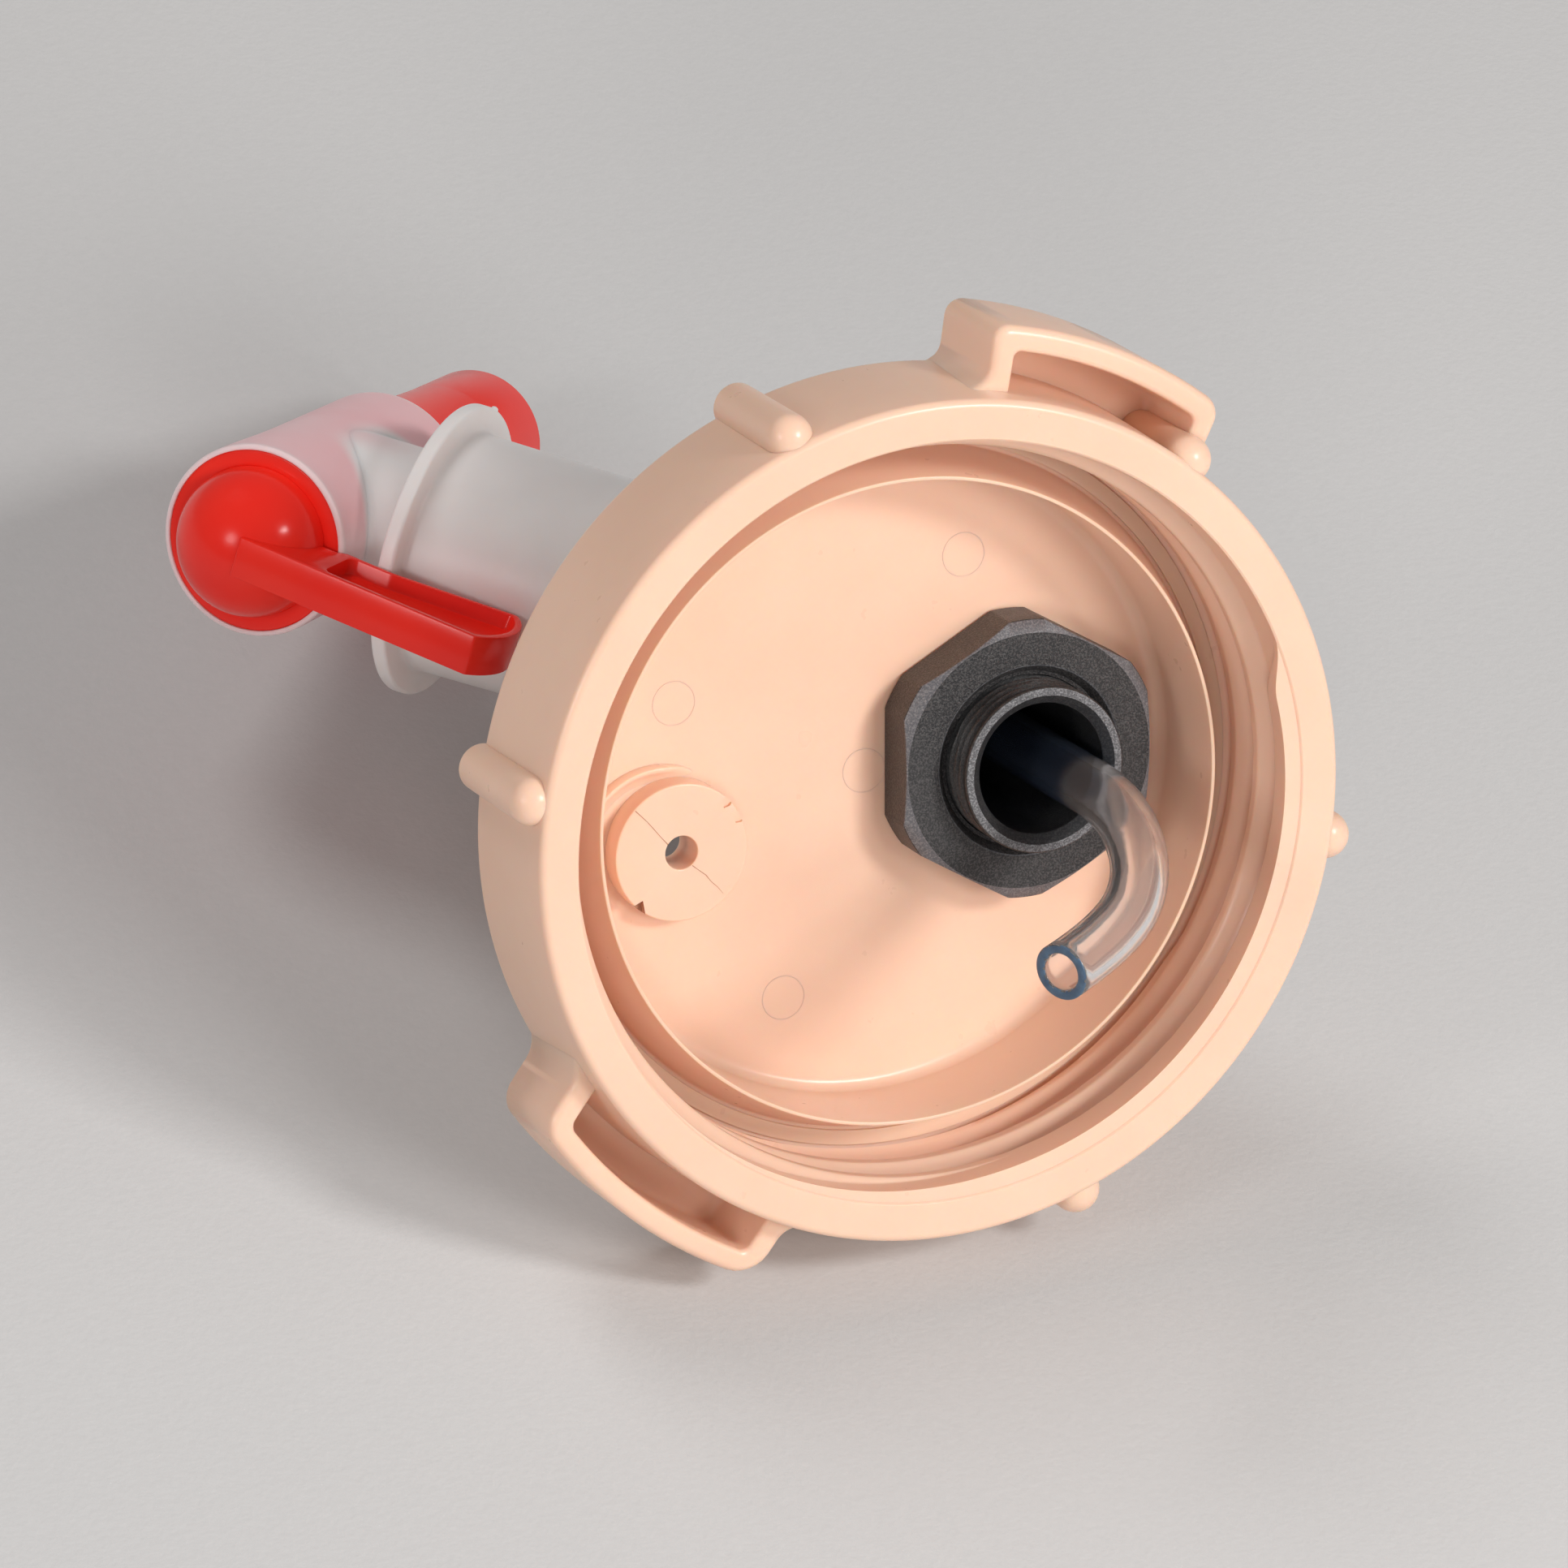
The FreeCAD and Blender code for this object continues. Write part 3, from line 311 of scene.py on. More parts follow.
def weld(points, quads):
    """Joins points less than a micrometre apart; a face that loses one corner becomes a triangle."""
    keys = np.round(points * 1000).astype(np.int64)
    _, first, index = np.unique(keys, axis=0, return_index=True, return_inverse=True)
    faces = index.reshape(-1)[quads]
    same = faces == np.roll(faces, -1, axis=1)
    whole = faces[~same.any(1)]
    torn = same.sum(1) == 1
    turn = (np.argmax(same[torn], axis=1)[:, None] + 1 + np.arange(3)) % 4
    triangles = np.take_along_axis(faces[torn], turn, axis=1)
    flat = (triangles[:, 0] == triangles[:, 1]) | (triangles[:, 0] == triangles[:, 2])
    return points[first], whole, triangles[~flat]


def volume_of(points, quads, triangles):
    """Six times the enclosed volume, positive when the faces point outwards."""
    corners = np.concatenate([quads[:, [0, 1, 2]], quads[:, [0, 2, 3]], triangles])
    a, b, c = (points[corners[:, k]] for k in range(3))
    return (a * np.cross(b, c)).sum()


def to_mesh(name, grid, place, wrap_rows=True, sharp=40):
    """Turns a grid in millimetres into a closed mesh in metres, at its place in the whole object."""
    points, quads, triangles = weld(grid.reshape(-1, 3), quads_of(grid.shape[0], grid.shape[1], wrap_rows))
    if volume_of(points, quads, triangles) < 0:
        quads, triangles = quads[:, ::-1], triangles[:, ::-1]
    matrix = np.array(place)
    points = points * MM @ matrix[:3, :3].T + matrix[:3, 3]
    mesh = bpy.data.meshes.new(name)
    mesh.from_pydata(points.tolist(), [], quads.tolist() + triangles.tolist())
    mesh.validate()
    mesh.shade_smooth()
    mesh.set_sharp_from_angle(angle=math.radians(sharp))
    return mesh


# %% From a mesh to a piece


def add_piece(name, mesh, material, body="lid", stands_for=()):
    """Puts a mesh in the scene as a piece that rides on a body and may stand for CAD nodes."""
    piece = bpy.data.objects.new(name, mesh)
    bpy.context.scene.collection.objects.link(piece)
    mesh.materials.append(material)
    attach(piece, body)
    if stands_for:
        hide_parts(*stands_for)
    lowest = min(vertex.co.z for vertex in mesh.vertices)
    print("%-22s %7d faces, lowest point at %.2f mm" % (name, len(mesh.polygons), lowest / MM))
    return piece


# %% [markdown]
# ## Vent tube
#
# A soft clear tube comes up the nipple and bends away over the lid.  Its line is a smooth NURBS spline whose
# control points are the same route as in the CAD model.  A hollow section is carried along the points read
# from that spline: the outer wall out to the cut end, over the end's edge, and back along the bore.

# %% Route and line of the tube
TUBE_RADIUS = 4.5                   # outer and inner radius in millimetres
TUBE_BORE = 3.0
TUBE_ROUTE = [                      # metres in the whole object's frame, from the holder to the cut end
    (-0.02259, 0.03504, 0.03754), (0.00047, 0.01002, 0.04091), (0.0327, -0.0238, 0.0443),
    (0.0324, -0.0584, 0.0602), (0.0331, -0.0775, 0.0687), (0.0298, -0.0945, 0.0704),
    (0.0193, -0.1084, 0.0716), (0.0058, -0.1163, 0.0736)]


def spline_points(route):
    """Points along a NURBS spline of order 3 with the route as its control points, in metres."""
    curve = bpy.data.curves.new("tube_route", "CURVE")
    curve.dimensions = "3D"
    curve.resolution_u = 16
    spline = curve.splines.new("NURBS")
    spline.points.add(len(route) - 1)
    for point, place in zip(spline.points, route):
        point.co = (*place, 1.0)
    spline.order_u = 3
    spline.use_endpoint_u = True
    carrier = bpy.data.objects.new("tube_route", curve)
    bpy.context.scene.collection.objects.link(carrier)
    line = bpy.data.meshes.new_from_object(carrier)
    points = np.array([vertex.co for vertex in line.vertices])
    bpy.data.objects.remove(carrier)
    return points


TUBE_LINE = spline_points(TUBE_ROUTE)

# %% Clear plastic


def clear_plastic():
    """Clear soft vinyl; where it still lies in the black pipe it is tinted deep blue, as painted shade of the
    pipe's dark bore.
    """
    material, tree, shader = new_material("tube_plastic")
    where = place_of(tree)
    haze = noise(tree, where, 90.0, 3.0)
    clear = ramp(tree, haze, [(0.3, (0.93, 0.935, 0.945)), (0.7, (0.98, 0.98, 0.98))])
    # painted shade: a deep blue tint for the tube where it lies in the pipe's shaded bore
    deep = node(tree, "ShaderNodeRGB").outputs["Color"]
    deep.default_value = (0.34, 0.42, 0.58, 1)
    tint = blend(tree, stored(tree, "in_pipe"), clear, deep)
    gloss = spread(tree, noise(tree, where, 260.0), 0.03, 0.10)
    set_inputs(tree, shader, {"Base Color": tint, "Roughness": gloss, "IOR": 1.40,
                              "Transmission Weight": 0.95})
    bump(tree, shader, noise(tree, where, 150.0, 2.0), 0.10, 0.0005)
    return material


def cut_plastic():
    """The sawn end, where the light that runs along the wall comes out steel blue."""
    material, tree, shader = new_material("tube_cut")
    where = place_of(tree)
    tint = ramp(tree, noise(tree, where, 700.0, 3.0), [(0.3, (0.055, 0.10, 0.17)), (0.7, (0.10, 0.17, 0.26))])
    set_inputs(tree, shader, {"Base Color": tint, "Roughness": 0.3, "Transmission Weight": 0.25})
    bump(tree, shader, noise(tree, where, 1200.0, 3.0), 0.2, 0.0002)
    return material


TUBE_PLASTIC = clear_plastic()
TUBE_CUT = cut_plastic()
print("tube's materials:", TUBE_PLASTIC.name, TUBE_CUT.name)

# %% Numbers and second materials on a mesh


def smooth(value):
    """Runs from 0 to 1 with a level start and end, for values clipped to that range."""
    value = np.clip(value, 0, 1)
    return value * value * (3 - 2 * value)


def in_part(points, place):
    """World points in metres, carried into a part's own frame in millimetres."""
    matrix = np.array(place.inverted())
    return (points @ matrix[:3, :3].T + matrix[:3, 3]) / MM


def store_share(mesh, place, name, share_of):
    """Stores one number per point for the shader; share_of gets the points in the part's own frame."""
    points = np.empty(len(mesh.vertices) * 3)
    mesh.vertices.foreach_get("co", points)
    layer = mesh.attributes.new(name, "FLOAT", "POINT")
    layer.data.foreach_set("value", share_of(in_part(points.reshape(-1, 3), place)).astype(np.float32))


def paint_faces(mesh, place, material, chosen):
    """Gives a second material to the faces whose middles, in the part's own frame, are chosen."""
    middles = np.array([face.center for face in mesh.polygons])
    mesh.materials.append(material)
    index = np.where(chosen(in_part(middles, place)), len(mesh.materials) - 1, 0)
    mesh.polygons.foreach_set("material_index", index.astype(np.int32))


# %% Tube
PIPE_FRONT = -16.0                  # height of the nipple's cut end; the skirt's front edge is at 0
# below this height the tube's blue tint is painted shade for the dark bore
CLEAR_FROM = PIPE_FRONT + 4.5       # beyond this height the tube no longer mirrors the black pipe
END_EDGE = 0.2                      # rounding of the tube's cut end


def carry(section, path, across, up):
    """A section carried along a path: its point (a, b) lies at path + a * across + b * up."""
    return (path[:, None] + section[None, :, :1] * across[:, None] + section[None, :, 1:] * up[:, None])


def frames_along(line):
    """At each point of a line: the way it runs, and two directions across it, one of them level."""
    way = np.gradient(line, axis=0)
    way /= np.linalg.norm(way, axis=1)[:, None]
    side = np.cross(way, [0.0, 0.0, 1.0])
    side /= np.linalg.norm(side, axis=1)[:, None]
    return way, side, np.cross(side, way)


def vent_tube_grid(columns=48):
    """Outer wall, cut end with its small rounding, and bore, as one closed grid in millimetres."""
    path = TUBE_LINE / MM
    way, side, up = frames_along(path)
    turn = np.linspace(0, 2 * np.pi, columns, endpoint=False)
    ring = np.stack([np.cos(turn), np.sin(turn)], -1)
    outside = carry(ring * TUBE_RADIUS, path, side, up)
    bore = carry(ring * TUBE_BORE, path, side, up)
    lip = [carry(ring * radius, path[-1:] + way[-1:] * END_EDGE, side[-1:], up[-1:])
           for radius in (TUBE_RADIUS - END_EDGE, TUBE_BORE + END_EDGE)]
    return np.concatenate([outside, *lip, bore[::-1]])


tube_mesh = to_mesh("vent_tube_clear", vent_tube_grid(), Matrix.Identity(4), sharp=50)
store_share(tube_mesh, PIPE, "in_pipe", lambda at: smooth((CLEAR_FROM - at[:, 2]) / 2.5))
vent_tube = add_piece("vent_tube_clear", tube_mesh, TUBE_PLASTIC, stands_for=["vent_tube"])
tube_end, tube_way = TUBE_LINE[-1] / MM, frames_along(TUBE_LINE)[0][-1]
paint_faces(tube_mesh, Matrix.Identity(4), TUBE_CUT, lambda at: (at - tube_end) @ tube_way > 0.1)

# %% [markdown]
# ## Lid plastic
#
# The lid is moulded polypropylene in a peach tint: glossy, a little cloudy, and the light that goes in comes
# out redder, so that grooves glow orange.  Subsurface scattering with a long red radius does this.

# %% Peach plastic


def lid_plastic():
    """Peach polypropylene: a cloudy tint, a soft gloss, and light from inside that comes out redder."""
    material, tree, shader = new_material("lid_plastic")
    where = place_of(tree)
    cloud = noise(tree, where, 38.0, 4.0, 0.6)
    tint = ramp(tree, cloud, [(0.25, (0.85, 0.55, 0.40)), (0.75, (0.90, 0.60, 0.445))])
    gloss = spread(tree, noise(tree, where, 240.0), 0.24, 0.36)
    set_inputs(tree, shader, {"Base Color": tint, "Roughness": gloss, "Specular IOR Level": 0.5,
                              "Subsurface Weight": 0.35, "Subsurface Radius": (1.0, 0.42, 0.2),
                              "Subsurface Scale": 0.003})
    bump(tree, shader, noise(tree, where, 1500.0, 2.0), 0.05, 0.0002)
    return material


def torn_and_shaded_plastic():
    """Torn plastic, matt and fibrous; its darker colour is painted shade for gaps and recesses."""
    material, tree, shader = new_material("torn_and_shaded_plastic")
    where = place_of(tree)
    fibres = noise(tree, where, 900.0, 4.0, 0.7)
    # painted shade: a darker brown than the lid for the shade in the cracks and the deep chip
    tint = ramp(tree, fibres, [(0.3, (0.36, 0.16, 0.09)), (0.7, (0.52, 0.27, 0.17))])
    set_inputs(tree, shader, {"Base Color": tint, "Roughness": 0.7})
    bump(tree, shader, noise(tree, where, 1800.0, 4.0), 0.6, 0.0002)
    return material


LID_PLASTIC = lid_plastic()
TORN_AND_SHADED_PLASTIC = torn_and_shaded_plastic()
print("lid's materials:", LID_PLASTIC.name, TORN_AND_SHADED_PLASTIC.name)

# %% [markdown]
# ## The lid's shell
#
# One profile, turned about the screw axis, gives the skirt, the groove for the container's neck, the thin
# sealing wall and the plate.  The thread is carved in the same step: the skirt's inner wall is divided into
# fine rows, and each point is moved inwards by as much as a ridge stands there.

# %% Profiles and turned shapes


def soften(corners, steps=4):
    """A closed outline with rounded corners, each corner given as (a, b, radius).

    A corner becomes an arc that touches both sides: it starts radius / tan(half the corner's angle) before
    the corner, and its centre lies on the bisector at radius / sin(half the angle)."""
    data = np.array(corners, float)
    point, radius = data[:, :2], data[:, 2]
    before = np.roll(point, 1, axis=0) - point
    after = np.roll(point, -1, axis=0) - point
    before /= np.linalg.norm(before, axis=1)[:, None]
    after /= np.linalg.norm(after, axis=1)[:, None]
    half = np.arccos(np.clip((before * after).sum(1), -1, 1)) / 2
    half = np.clip(half, 1e-3, np.pi / 2 - 1e-6)
    bisector = before + after
    bisector /= np.linalg.norm(bisector, axis=1)[:, None] + 1e-12
    centre = point + bisector * (radius / np.sin(half))[:, None]
    start = point + before * (radius / np.tan(half))[:, None] - centre
    end = point + after * (radius / np.tan(half))[:, None] - centre
    first = np.arctan2(start[:, 1], start[:, 0])
    sweep = (np.arctan2(end[:, 1], end[:, 0]) - first + np.pi) % (2 * np.pi) - np.pi
    share = np.linspace(0, 1, steps + 1)
    angle = first[:, None] + sweep[:, None] * share
    arc = np.stack([np.cos(angle), np.sin(angle)], -1) * radius[:, None, None]
    outline = (centre[:, None] + arc).reshape(-1, 2)
    apart = np.linalg.norm(outline - np.roll(outline, 1, axis=0), axis=1) > 1e-4
    return outline[apart]


def lathe(profile, turns=96, carve=None):
    """Surface of revolution: the profile's point (r, z) at angle t is (r cos t, r sin t, z).
    carve(t, r, z), if given, is added to r."""
    angle = np.linspace(0, 2 * np.pi, turns, endpoint=False)[:, None]
    radius = np.repeat(profile[None, :, 0], turns, axis=0)
    height = np.repeat(profile[None, :, 1], turns, axis=0)
    if carve is not None:
        radius = radius + carve(angle, radius, height)
    return np.stack([radius * np.cos(angle), radius * np.sin(angle), height], -1)


# %% Thread inside the skirt
SKIRT_INNER = 59.8
THREAD_DEPTH = 2.6                  # how far a ridge stands inwards from the wall
THREAD_PITCH = 7.9
THREAD_START = 329.0                # direction in which the ridge begins at the rim, degrees
THREAD_EDGE = 5.35                  # depth of the first ridge's lower edge at THREAD_REFERENCE
THREAD_REFERENCE = 262.0
THREAD_LEAN = 0.49                  # the helix leans: it is this much deeper on one side
THREAD_LAPS = 3
RIDGE_CREST = 1.4                   # flat crest of a ridge
RIDGE_RISE = 2.8                    # slope above the crest
RIDGE_FALL = 0.9                    # steep side below it
POINT_WIDTH = 9.0                   # degrees over which the first ridge widens from its point
MERGE_DEPTH = 6.2                   # the first ridge is full up to the rim until its edge is this deep
MERGE_FADE = 2.0
RIM_CLEAR = 0.32                    # no ridge nearer to the skirt's front edge than this


def ridge_edge(turn):
    """Depth of a ridge's lower edge: it falls by one pitch a turn against the angle, plus the lean."""
    falling = THREAD_PITCH * (THREAD_REFERENCE - turn) / 360
    return THREAD_EDGE + falling - THREAD_LEAN * np.sin(np.radians(turn - THREAD_REFERENCE))


def ridge_height(angle, depth):
    """Share of the thread's full height at a point of the skirt's inner wall.

    For each lap, below is how far the point lies below the ridge's lower edge.  The ridge rises from above,
    is full over its crest and falls away steeply beneath its edge.  The first lap is also full up to the rim
    while its edge is near, and it begins as a point."""
    turn = np.degrees(angle)
    turn = np.where(turn > THREAD_START, turn - 360, turn)
    total = np.zeros(np.broadcast(turn, depth).shape)
    for lap in range(THREAD_LAPS):
        edge = ridge_edge(turn) + lap * THREAD_PITCH
        grow = smooth((THREAD_START - turn) / POINT_WIDTH) if lap == 0 else 1.0
        edge = edge * (0.35 + 0.65 * grow) if lap == 0 else edge
        below = depth - edge
        above = smooth((below + RIDGE_CREST + RIDGE_RISE) / RIDGE_RISE)
        if lap == 0:
            above = np.maximum(above, 1 - smooth((edge - MERGE_DEPTH) / MERGE_FADE))
        ridge = np.where(below < 0, above, 1 - smooth(below / RIDGE_FALL)) * grow
        total = np.maximum(total, ridge)
    return total * (depth > RIM_CLEAR)


# %% Shell
PLATE_BACK = -33.8                  # heights; the skirt's front edge is at 0
PLATE_FRONT = -30.8
SKIRT_BACK = -25.0
GROOVE_FLOOR = -23.2
WALL_TOP = -12.7                    # the sealing wall's thin lip
WALL_INNER = 50.6                   # radii
WALL_LIP = 51.15
WALL_FOOT = 54.2
SKIRT_OUTER = 66.8
RIM_OUTER = 66.05
PLATE_MIDDLE = 30.0                 # a row here divides the wide plate


def shell_profile():
    """The shell's outline in (r, z), closed through the axis; the skirt's inner wall is divided finely."""
    outline = [
        # The back of the plate, and the skirt's outside
        (0.0, PLATE_BACK, 0), (PLATE_MIDDLE, PLATE_BACK, 0), (WALL_FOOT, PLATE_BACK, 2.0),
        (WALL_FOOT, SKIRT_BACK, 0.8), (SKIRT_OUTER, SKIRT_BACK, 2.0), (RIM_OUTER, 0, 1.3),
        # The skirt's inner wall, down to the groove
        (SKIRT_INNER + 0.3, 0, 0.12), (SKIRT_INNER, -0.25, 0.05), (SKIRT_INNER, GROOVE_FLOOR, 3.0),
        # The sealing wall, and the front of the plate
        (WALL_FOOT, GROOVE_FLOOR, 0.4), (WALL_LIP, WALL_TOP, 0.22), (WALL_INNER, WALL_TOP, 0.2),
        (WALL_INNER, PLATE_FRONT, 2.0), (PLATE_MIDDLE, PLATE_FRONT, 0), (0.0, PLATE_FRONT, 0)]
    profile = soften(outline, 6)
    on_wall = np.abs(profile[:, 0] - SKIRT_INNER) < 1e-6
    top = profile[on_wall][:, 1].max()
    foot = profile[on_wall][:, 1].min()
    cut = np.flatnonzero(on_wall)[0] + 1
    heights = np.concatenate([[-0.30, -0.34], np.linspace(-0.5, foot, 104)[:-1]])
    fine = np.stack([np.full(len(heights), SKIRT_INNER), heights], -1)
    print("skirt's inner wall from %.2f to %.2f in %d rows" % (top, foot, len(heights)))
    return np.concatenate([profile[:cut], fine, profile[cut:]])


def carve_thread(angle, radius, height):
    """Moves the wall's points inwards by the ridge's height, and those of its foot's rounding by a share."""
    inside = (radius < SKIRT_INNER + 0.01) & (height < -0.2)
    near_wall = np.clip((radius - SKIRT_INNER + 1.2) / 1.1, 0, 1) * inside
    return -THREAD_DEPTH * ridge_height(angle, -height) * near_wall


shell_grid = lathe(shell_profile(), 480, carve_thread)
shell = add_piece("lid_shell", to_mesh("lid_shell", shell_grid, LID, sharp=50), LID_PLASTIC,
                  stands_for=["lid_cap"])

# %% Gasket on the groove's floor
GASKET_BACK, GASKET_FRONT = GROOVE_FLOOR - 0.2, GROOVE_FLOOR + 0.6
gasket = soften([(54.8, GASKET_BACK, 0), (57.2, GASKET_BACK, 0), (57.2, GASKET_FRONT, 0.2),
                 (54.8, GASKET_FRONT, 0.2)])
add_piece("neck_gasket", to_mesh("neck_gasket", lathe(gasket, 240), LID), LID_PLASTIC,
          stands_for=["lid_gasket"])

# %% Holes through the plate


def cut_away(piece, cutter_mesh):
    """Takes a closed mesh out of a piece with a Boolean, and applies it."""
    cutter = bpy.data.objects.new("cutter", cutter_mesh)
    bpy.context.scene.collection.objects.link(cutter)
    modifier = piece.modifiers.new("cut_away", "BOOLEAN")
    modifier.operation = "DIFFERENCE"
    modifier.solver = "EXACT"
    modifier.object = cutter
    cut = bpy.data.meshes.new_from_object(piece.evaluated_get(bpy.context.evaluated_depsgraph_get()))
    piece.modifiers.remove(modifier)
    cut.shade_smooth()
    cut.set_sharp_from_angle(angle=math.radians(50))
    old = piece.data
    piece.data = cut
    bpy.data.meshes.remove(old)
    bpy.data.objects.remove(cutter)


PIPE_HOLE = 13.4
VENT_HOLE = 2.65
for hole, (x, y) in ((PIPE_HOLE, PIPE_XY), (VENT_HOLE, BOSS_XY)):
    rod = np.array([(0, -36.0), (hole, -36.0), (hole, -24.0), (0, -24.0)])
    cut_away(shell, to_mesh("rod", lathe(rod, 96) + np.array([x, y, 0.0]), LID))
print("shell with its holes:", len(shell.data.polygons), "faces")

# %% [markdown]
# ## Boss and ribs
#
# The boss round the vent hole and the grip ribs outside the skirt are turned shapes; a rib ends in a ball.
# The boss is worn: two cracks run out from its hole and three chips are broken out of its edge.  The chips
# are cut out, and the deep one's walls and floor take a darker colour as painted shade.  A crack is too fine
# to cut cleanly, so it is a thin strip of matt torn plastic set into the top, painted dark as the shade in its
# gap.

# %% Boss round the vent hole
BOSS_TOP = -26.6
BOSS_RADIUS = 10.9
BOSS_FOOT = PLATE_FRONT - 1.4       # inside the plate
BOSS = LID @ moved(*BOSS_XY, 0)
boss_outline = soften([(VENT_HOLE, BOSS_FOOT, 0), (BOSS_RADIUS, BOSS_FOOT, 0), (BOSS_RADIUS, BOSS_TOP, 0.3),
                       (VENT_HOLE, BOSS_TOP, 0.25)])
boss_mesh = to_mesh("vent_boss", lathe(boss_outline, 120), BOSS)
boss = add_piece("vent_boss", boss_mesh, LID_PLASTIC)

# %% Cracks and chips of the boss
CRACKS = [                          # points of each line, and how wide it is open at each
    ([(1.5, 10.6), (1.1, 7.9), (0.75, 6.4), (0.3, 4.6), (0.0, 3.2), (-0.1, 2.75)],
     (0.16, 0.10, 0.13, 0.09, 0.14, 0.16)),
    ([(-0.75, -2.75), (-0.8, -3.8), (-0.85, -5.6), (-1.25, -7.0), (-1.4, -8.4), (-1.8, -9.9)],
     (0.15, 0.10, 0.14, 0.09, 0.09, 0.04))]
CHIPS = [                           # outline of what broke out, and its depth
    ([(-9.35, 1.1), (-12.0, 2.5), (-12.5, 1.0), (-11.2, -0.9)], 1.4),
    ([(9.2, -1.9), (9.9, -0.9), (11.6, -0.9), (11.6, -2.6), (10.0, -2.5)], 0.6),
    ([(8.3, -5.0), (8.9, -3.9), (11.6, -4.2), (11.6, -6.4), (8.9, -5.7)], 0.6)]


def cap_ends(grid):
    """Closes the two ends of a tube-shaped grid by a row drawn together at each end's middle."""
    first = np.repeat(grid[:1].mean(1, keepdims=True), grid.shape[1], axis=1)
    last = np.repeat(grid[-1:].mean(1, keepdims=True), grid.shape[1], axis=1)
    return np.concatenate([first, grid, last])


def prism(outline, low, high):
    """An upright prism on a flat outline, as a grid with drawn-in ends."""
    rows = [np.concatenate([outline, np.full((len(outline), 1), z)], 1) for z in (low, high)]
    return cap_ends(np.stack(rows))


def crack(line, width):
    """A hair-thin wedge set into the boss's top along a line, and a hundredth of a millimetre proud of it.

    Its section at each point is a triangle: two corners across the line, half the opening to each side, and
    one below the line."""
    line = np.array(line, float)
    way = np.gradient(line, axis=0)
    way /= np.linalg.norm(way, axis=1)[:, None]
    side = np.stack([-way[:, 1], way[:, 0]], -1)
    rows = []
    for point, across, open_by in zip(line, side, width):
        left, right = point + across * open_by / 2, point - across * open_by / 2
        rows.append([(*left, BOSS_TOP + 0.01), (*right, BOSS_TOP + 0.01), (*point, BOSS_TOP - 0.4)])
    return cap_ends(np.array(rows))


def shaded_chip_faces(at):
    """Walls and floor of the deep chip on the boss's far side, which get the painted shade."""
    inside = np.hypot(at[:, 0], at[:, 1]) < BOSS_RADIUS - 0.3
    return (at[:, 0] < -3) & inside & (at[:, 2] < BOSS_TOP - 0.1) & (at[:, 2] > -31.0)


# each crack is a thin strip painted dark, as the shade in its gap
for number, (line, width) in enumerate(CRACKS):
    crack_mesh = to_mesh("crack", crack(line, width), BOSS, wrap_rows=False, sharp=30)
    add_piece("boss_crack_%d" % (number + 1), crack_mesh, TORN_AND_SHADED_PLASTIC)
for outline, depth in CHIPS:
    chip = prism(np.array(outline), BOSS_TOP - depth, BOSS_TOP + 1)
    cut_away(boss, to_mesh("chip", chip, BOSS, wrap_rows=False))
# the deep chip's walls and floor get the darker colour as painted shade
paint_faces(boss.data, BOSS, TORN_AND_SHADED_PLASTIC, shaded_chip_faces)
print("boss after its chips:", len(boss.data.polygons), "faces")

# %% Raised step beside the boss
STEP_RADIUS = 13.2
STEP_RISE = 2.3
STEP_FOOT = PLATE_FRONT - 0.5       # inside the plate
STEP_PLACE = BOSS @ moved(-1.6, 2.1, 0)


def step_grid(columns=180):
    """A ring off the boss's centre, highest at its outer wall, from where it slopes to the plate inwards.

    The rise at an angle goes smoothly from nothing at 4 degrees to full at 38, and from full at 120 degrees
    to nothing at 170.  Each row of the section is (inwards from the wall, lift, share of the rise)."""
    rows = np.array([(-0.1, 0, 0), (0, 0.3, 1), (0.1, 0.38, 1), (0.35, 0.42, 1), (1.2, 0.3, 0.62),
                     (2.2, 0.15, 0.25), (3.4, 0.1, 0.05), (6.0, 0, 0)])
    inwards, lift, share = rows.T
    turn = np.linspace(0, 2 * np.pi, columns, endpoint=False)[:, None]
    degrees = np.degrees(turn)
    rise = STEP_RISE * smooth((degrees - 4) / 34) * (1 - smooth((degrees - 120) / 50))
    radius = STEP_RADIUS - inwards
    return np.stack([radius * np.cos(turn), radius * np.sin(turn), STEP_FOOT + lift + rise * share], -1)


add_piece("boss_step", to_mesh("boss_step", step_grid(), STEP_PLACE, sharp=60), LID_PLASTIC)

# %% Ejector marks on the plate
MARK_PLACES = [(36.4, 6.1), (-7.0, 34.0), (-35.7, -9.8), (0.3, 0.1)]
mark = np.array([(3.34, -0.1), (3.42, 0.04), (3.52, 0.06), (3.62, -0.1)]) + (0, PLATE_FRONT)
for number, (x, y) in enumerate(MARK_PLACES):
    mark_mesh = to_mesh("mark", lathe(mark, 64), LID @ moved(x, y, 0), sharp=30)
    add_piece("ejector_mark_%d" % (number + 1), mark_mesh, LID_PLASTIC)

# %% Grip ribs
RIB_RADIUS = 3.75
RIB_BACK = -24.3
RIB_FRONT = -0.4
RIB_CIRCLE = 66.6
FIRST_RIB = 237.6                   # degrees; a sixth rib would stand where the lower lug is
rib_outline = soften([(0, RIB_BACK, 0), (RIB_RADIUS, RIB_BACK, 0.5),
                      (RIB_RADIUS, RIB_FRONT, RIB_RADIUS - 0.01), (0, RIB_FRONT, 0)], 12)
for number in range(5):
    angle = math.radians(FIRST_RIB + 60 * number)
    place = LID @ moved(RIB_CIRCLE * math.cos(angle), RIB_CIRCLE * math.sin(angle), 0)
    rib_mesh = to_mesh("rib", lathe(rib_outline, 48), place)
    add_piece("grip_rib_%d" % (number + 1), rib_mesh, LID_PLASTIC)

